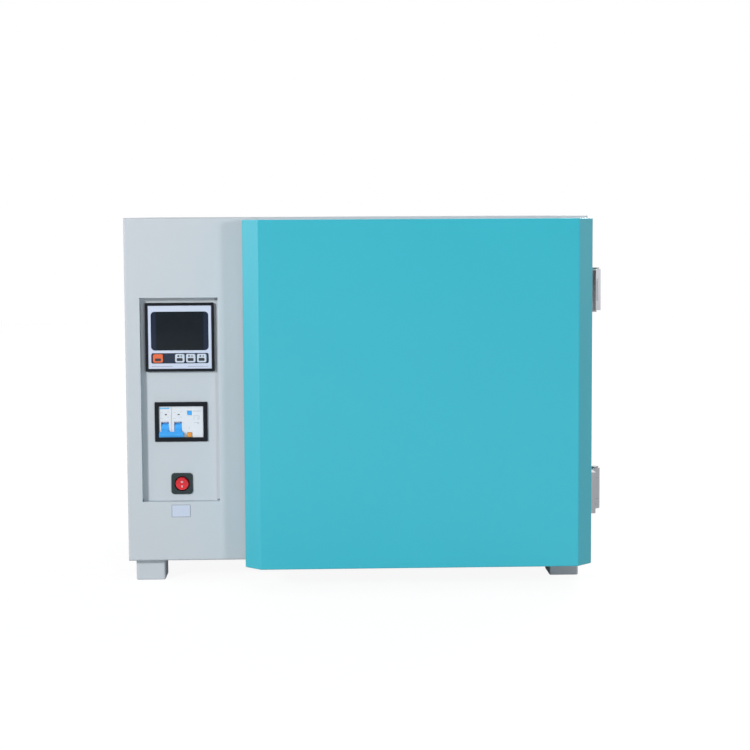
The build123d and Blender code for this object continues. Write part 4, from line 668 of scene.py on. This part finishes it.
def fasten_side():
    low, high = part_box("left_side_cover")
    points = rim_points((low[1], low[2]), (high[1], high[2]), 11 * mm, 3, 3)
    places = [(-1.0, y, z) for y, z in points]
    fasteners("side_screws", "left_side_cover", "cabinet", (-1, 0, 0), places, 3.4 * mm, 1.9 * mm)


def fasten_hinges():
    for node, body in (("hinge_cabinet_leaves", "cabinet"), ("hinge_door_leaves", "door")):
        low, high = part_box(node)
        y = high[1] - hinge_screw_inset if body == "cabinet" else low[1] + hinge_screw_inset
        offsets = (-hinge_screw_offset, hinge_screw_offset)
        places = [(1.0, y, level + offset) for level in hinge_levels for offset in offsets]
        fasteners(f"{node}_screws", node, body, (1, 0, 0), places, 2.6 * mm, 1.1 * mm)


def fasten_door():
    low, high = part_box("door_inner_panel")
    points = rim_points((low[0], low[2]), (high[0], high[2]), 9 * mm, 4, 4)
    places = [(x, 1.0, z) for x, z in points]
    fasteners("door_screws", "door_inner_panel", "door", (0, 1, 0), places, 3.0 * mm, 1.6 * mm)


def fasten_duct():
    low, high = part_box("duct_panel")
    points = rim_points((low[1], low[2]), (high[1], high[2]), 9 * mm, 2, 3)
    places = [(high[0] + 20 * mm, y, z) for y, z in points]
    fasteners("duct_screws", "duct_panel", "cabinet", (1, 0, 0), places, 2.6 * mm, 1.4 * mm)


dress_keys()
dress_faceplate()
dress_breaker()
dress_switch()
dress_label()
paint_recess_corner_shade()
fasten_back()
fasten_side()
fasten_hinges()
fasten_door()
fasten_duct()


# The stage: floor, lamps, world and camera.
def make_floor():
    shape = bmesh.new()
    bmesh.ops.create_grid(shape, x_segments=1, y_segments=1, size=floor_half)
    mesh = bpy.data.meshes.new("floor")
    shape.to_mesh(mesh)
    shape.free()
    floor = bpy.data.objects.new("floor", mesh)
    bpy.context.scene.collection.objects.link(floor)
    material, tree, shader = new_material("studio_floor")
    coordinates = tree.nodes.new("ShaderNodeTexCoord").outputs["Object"]
    mottle = add_noise(tree, coordinates, 3.0, 3.0, 0.5)
    white = (floor_white,) * 3
    tone = add_tint(tree, mottle.outputs["Fac"], shade(white, 0.99), white)
    tree.links.new(tone, shader.inputs["Base Color"])
    shader.inputs["Roughness"].default_value = 0.9
    path = tree.nodes.new("ShaderNodeLightPath")
    seen = add_math(tree, "MULTIPLY", path.outputs["Is Camera Ray"], 1 - floor_shade_kept)
    glow = tree.nodes.new("ShaderNodeEmission")
    glow.inputs["Strength"].default_value = floor_glow
    mixed = tree.nodes.new("ShaderNodeMixShader")
    tree.links.new(seen, mixed.inputs["Fac"])
    tree.links.new(shader.outputs["BSDF"], mixed.inputs[1])
    tree.links.new(glow.outputs["Emission"], mixed.inputs[2])
    tree.links.new(mixed.outputs["Shader"], tree.nodes["Material Output"].inputs["Surface"])
    mesh.materials.append(material)


def make_lamp(name, direction, share, size, mirrored=True):
    """An area lamp that gives a facing surface that share of full light."""
    lamp = bpy.data.lights.new(name, "AREA")
    lamp.shape = "DISK"
    lamp.size = size
    lamp.energy = share * pi * pi * lamp_distance**2
    place = lamp_target + direction.normalized() * lamp_distance
    holder = bpy.data.objects.new(name, lamp)
    holder.location = place
    holder.rotation_mode = "QUATERNION"
    holder.rotation_quaternion = (lamp_target - place).to_track_quat("-Z", "Y")
    holder.visible_glossy = mirrored
    bpy.context.scene.collection.objects.link(holder)


def make_world():
    """White to the camera, dimmer as a light. Mirrored, it is dark behind the camera and bright at the left."""
    world = bpy.data.worlds.new("studio")
    bpy.context.scene.world = world
    world.use_nodes = True
    tree = world.node_tree
    ambient = tree.nodes["Background"]
    ambient.inputs["Color"].default_value = (0.97, 0.985, 1.0, 1.0)
    ambient.inputs["Strength"].default_value = sky_strength
    white = tree.nodes.new("ShaderNodeBackground")
    white.inputs["Color"].default_value = (1.0, 1.0, 1.0, 1.0)
    mirrored = tree.nodes.new("ShaderNodeBackground")
    direction = tree.nodes.new("ShaderNodeTexCoord").outputs["Generated"]
    split = tree.nodes.new("ShaderNodeSeparateXYZ")
    tree.links.new(direction, split.inputs["Vector"])
    behind_camera = add_range(tree, split.outputs["Y"], -0.60, -0.85, open_room_glow, dark_room_share)
    beside = add_range(tree, split.outputs["X"], -0.35, -0.85, 0.0, side_room_glow)
    tree.links.new(add_math(tree, "ADD", behind_camera, beside), mirrored.inputs["Strength"])
    path = tree.nodes.new("ShaderNodeLightPath")
    reflects = add_math(tree, "MAXIMUM", path.outputs["Is Glossy Ray"], path.outputs["Is Transmission Ray"])
    first = tree.nodes.new("ShaderNodeMixShader")
    tree.links.new(reflects, first.inputs["Fac"])
    tree.links.new(ambient.outputs["Background"], first.inputs[1])
    tree.links.new(mirrored.outputs["Background"], first.inputs[2])
    second = tree.nodes.new("ShaderNodeMixShader")
    tree.links.new(path.outputs["Is Camera Ray"], second.inputs["Fac"])
    tree.links.new(first.outputs["Shader"], second.inputs[1])
    tree.links.new(white.outputs["Background"], second.inputs[2])
    tree.links.new(second.outputs["Shader"], tree.nodes["World Output"].inputs["Surface"])


def make_camera():
    data = bpy.data.cameras.new("camera")
    data.sensor_width = sensor_width
    data.lens = lens_per_width * sensor_width
    data.clip_start = 0.05
    data.clip_end = 50.0
    camera = bpy.data.objects.new("camera", data)
    bpy.context.scene.collection.objects.link(camera)
    level = Vector((sin(camera_yaw), cos(camera_yaw), 0.0))
    ahead = level * cos(camera_pitch) - Vector((0, 0, sin(camera_pitch)))
    across = Vector((cos(camera_yaw), -sin(camera_yaw), 0.0))
    upward = across.cross(ahead)
    rolled_across = across * cos(camera_roll) + upward * sin(camera_roll)
    rolled_up = upward * cos(camera_roll) - across * sin(camera_roll)
    turn = Matrix((rolled_across, rolled_up, -ahead)).transposed()
    camera.matrix_world = Matrix.Translation(camera_place) @ turn.to_4x4()
    bpy.context.scene.camera = camera


make_floor()
make_world()
make_camera()
make_lamp("key_lamp", key_from, key_share, key_size)
make_lamp("fill_lamp", fill_from, fill_share, fill_size, mirrored=False)
make_lamp("rear_lamp", rear_from, rear_share, rear_size)
bpy.context.scene.view_settings.view_transform = "Standard"
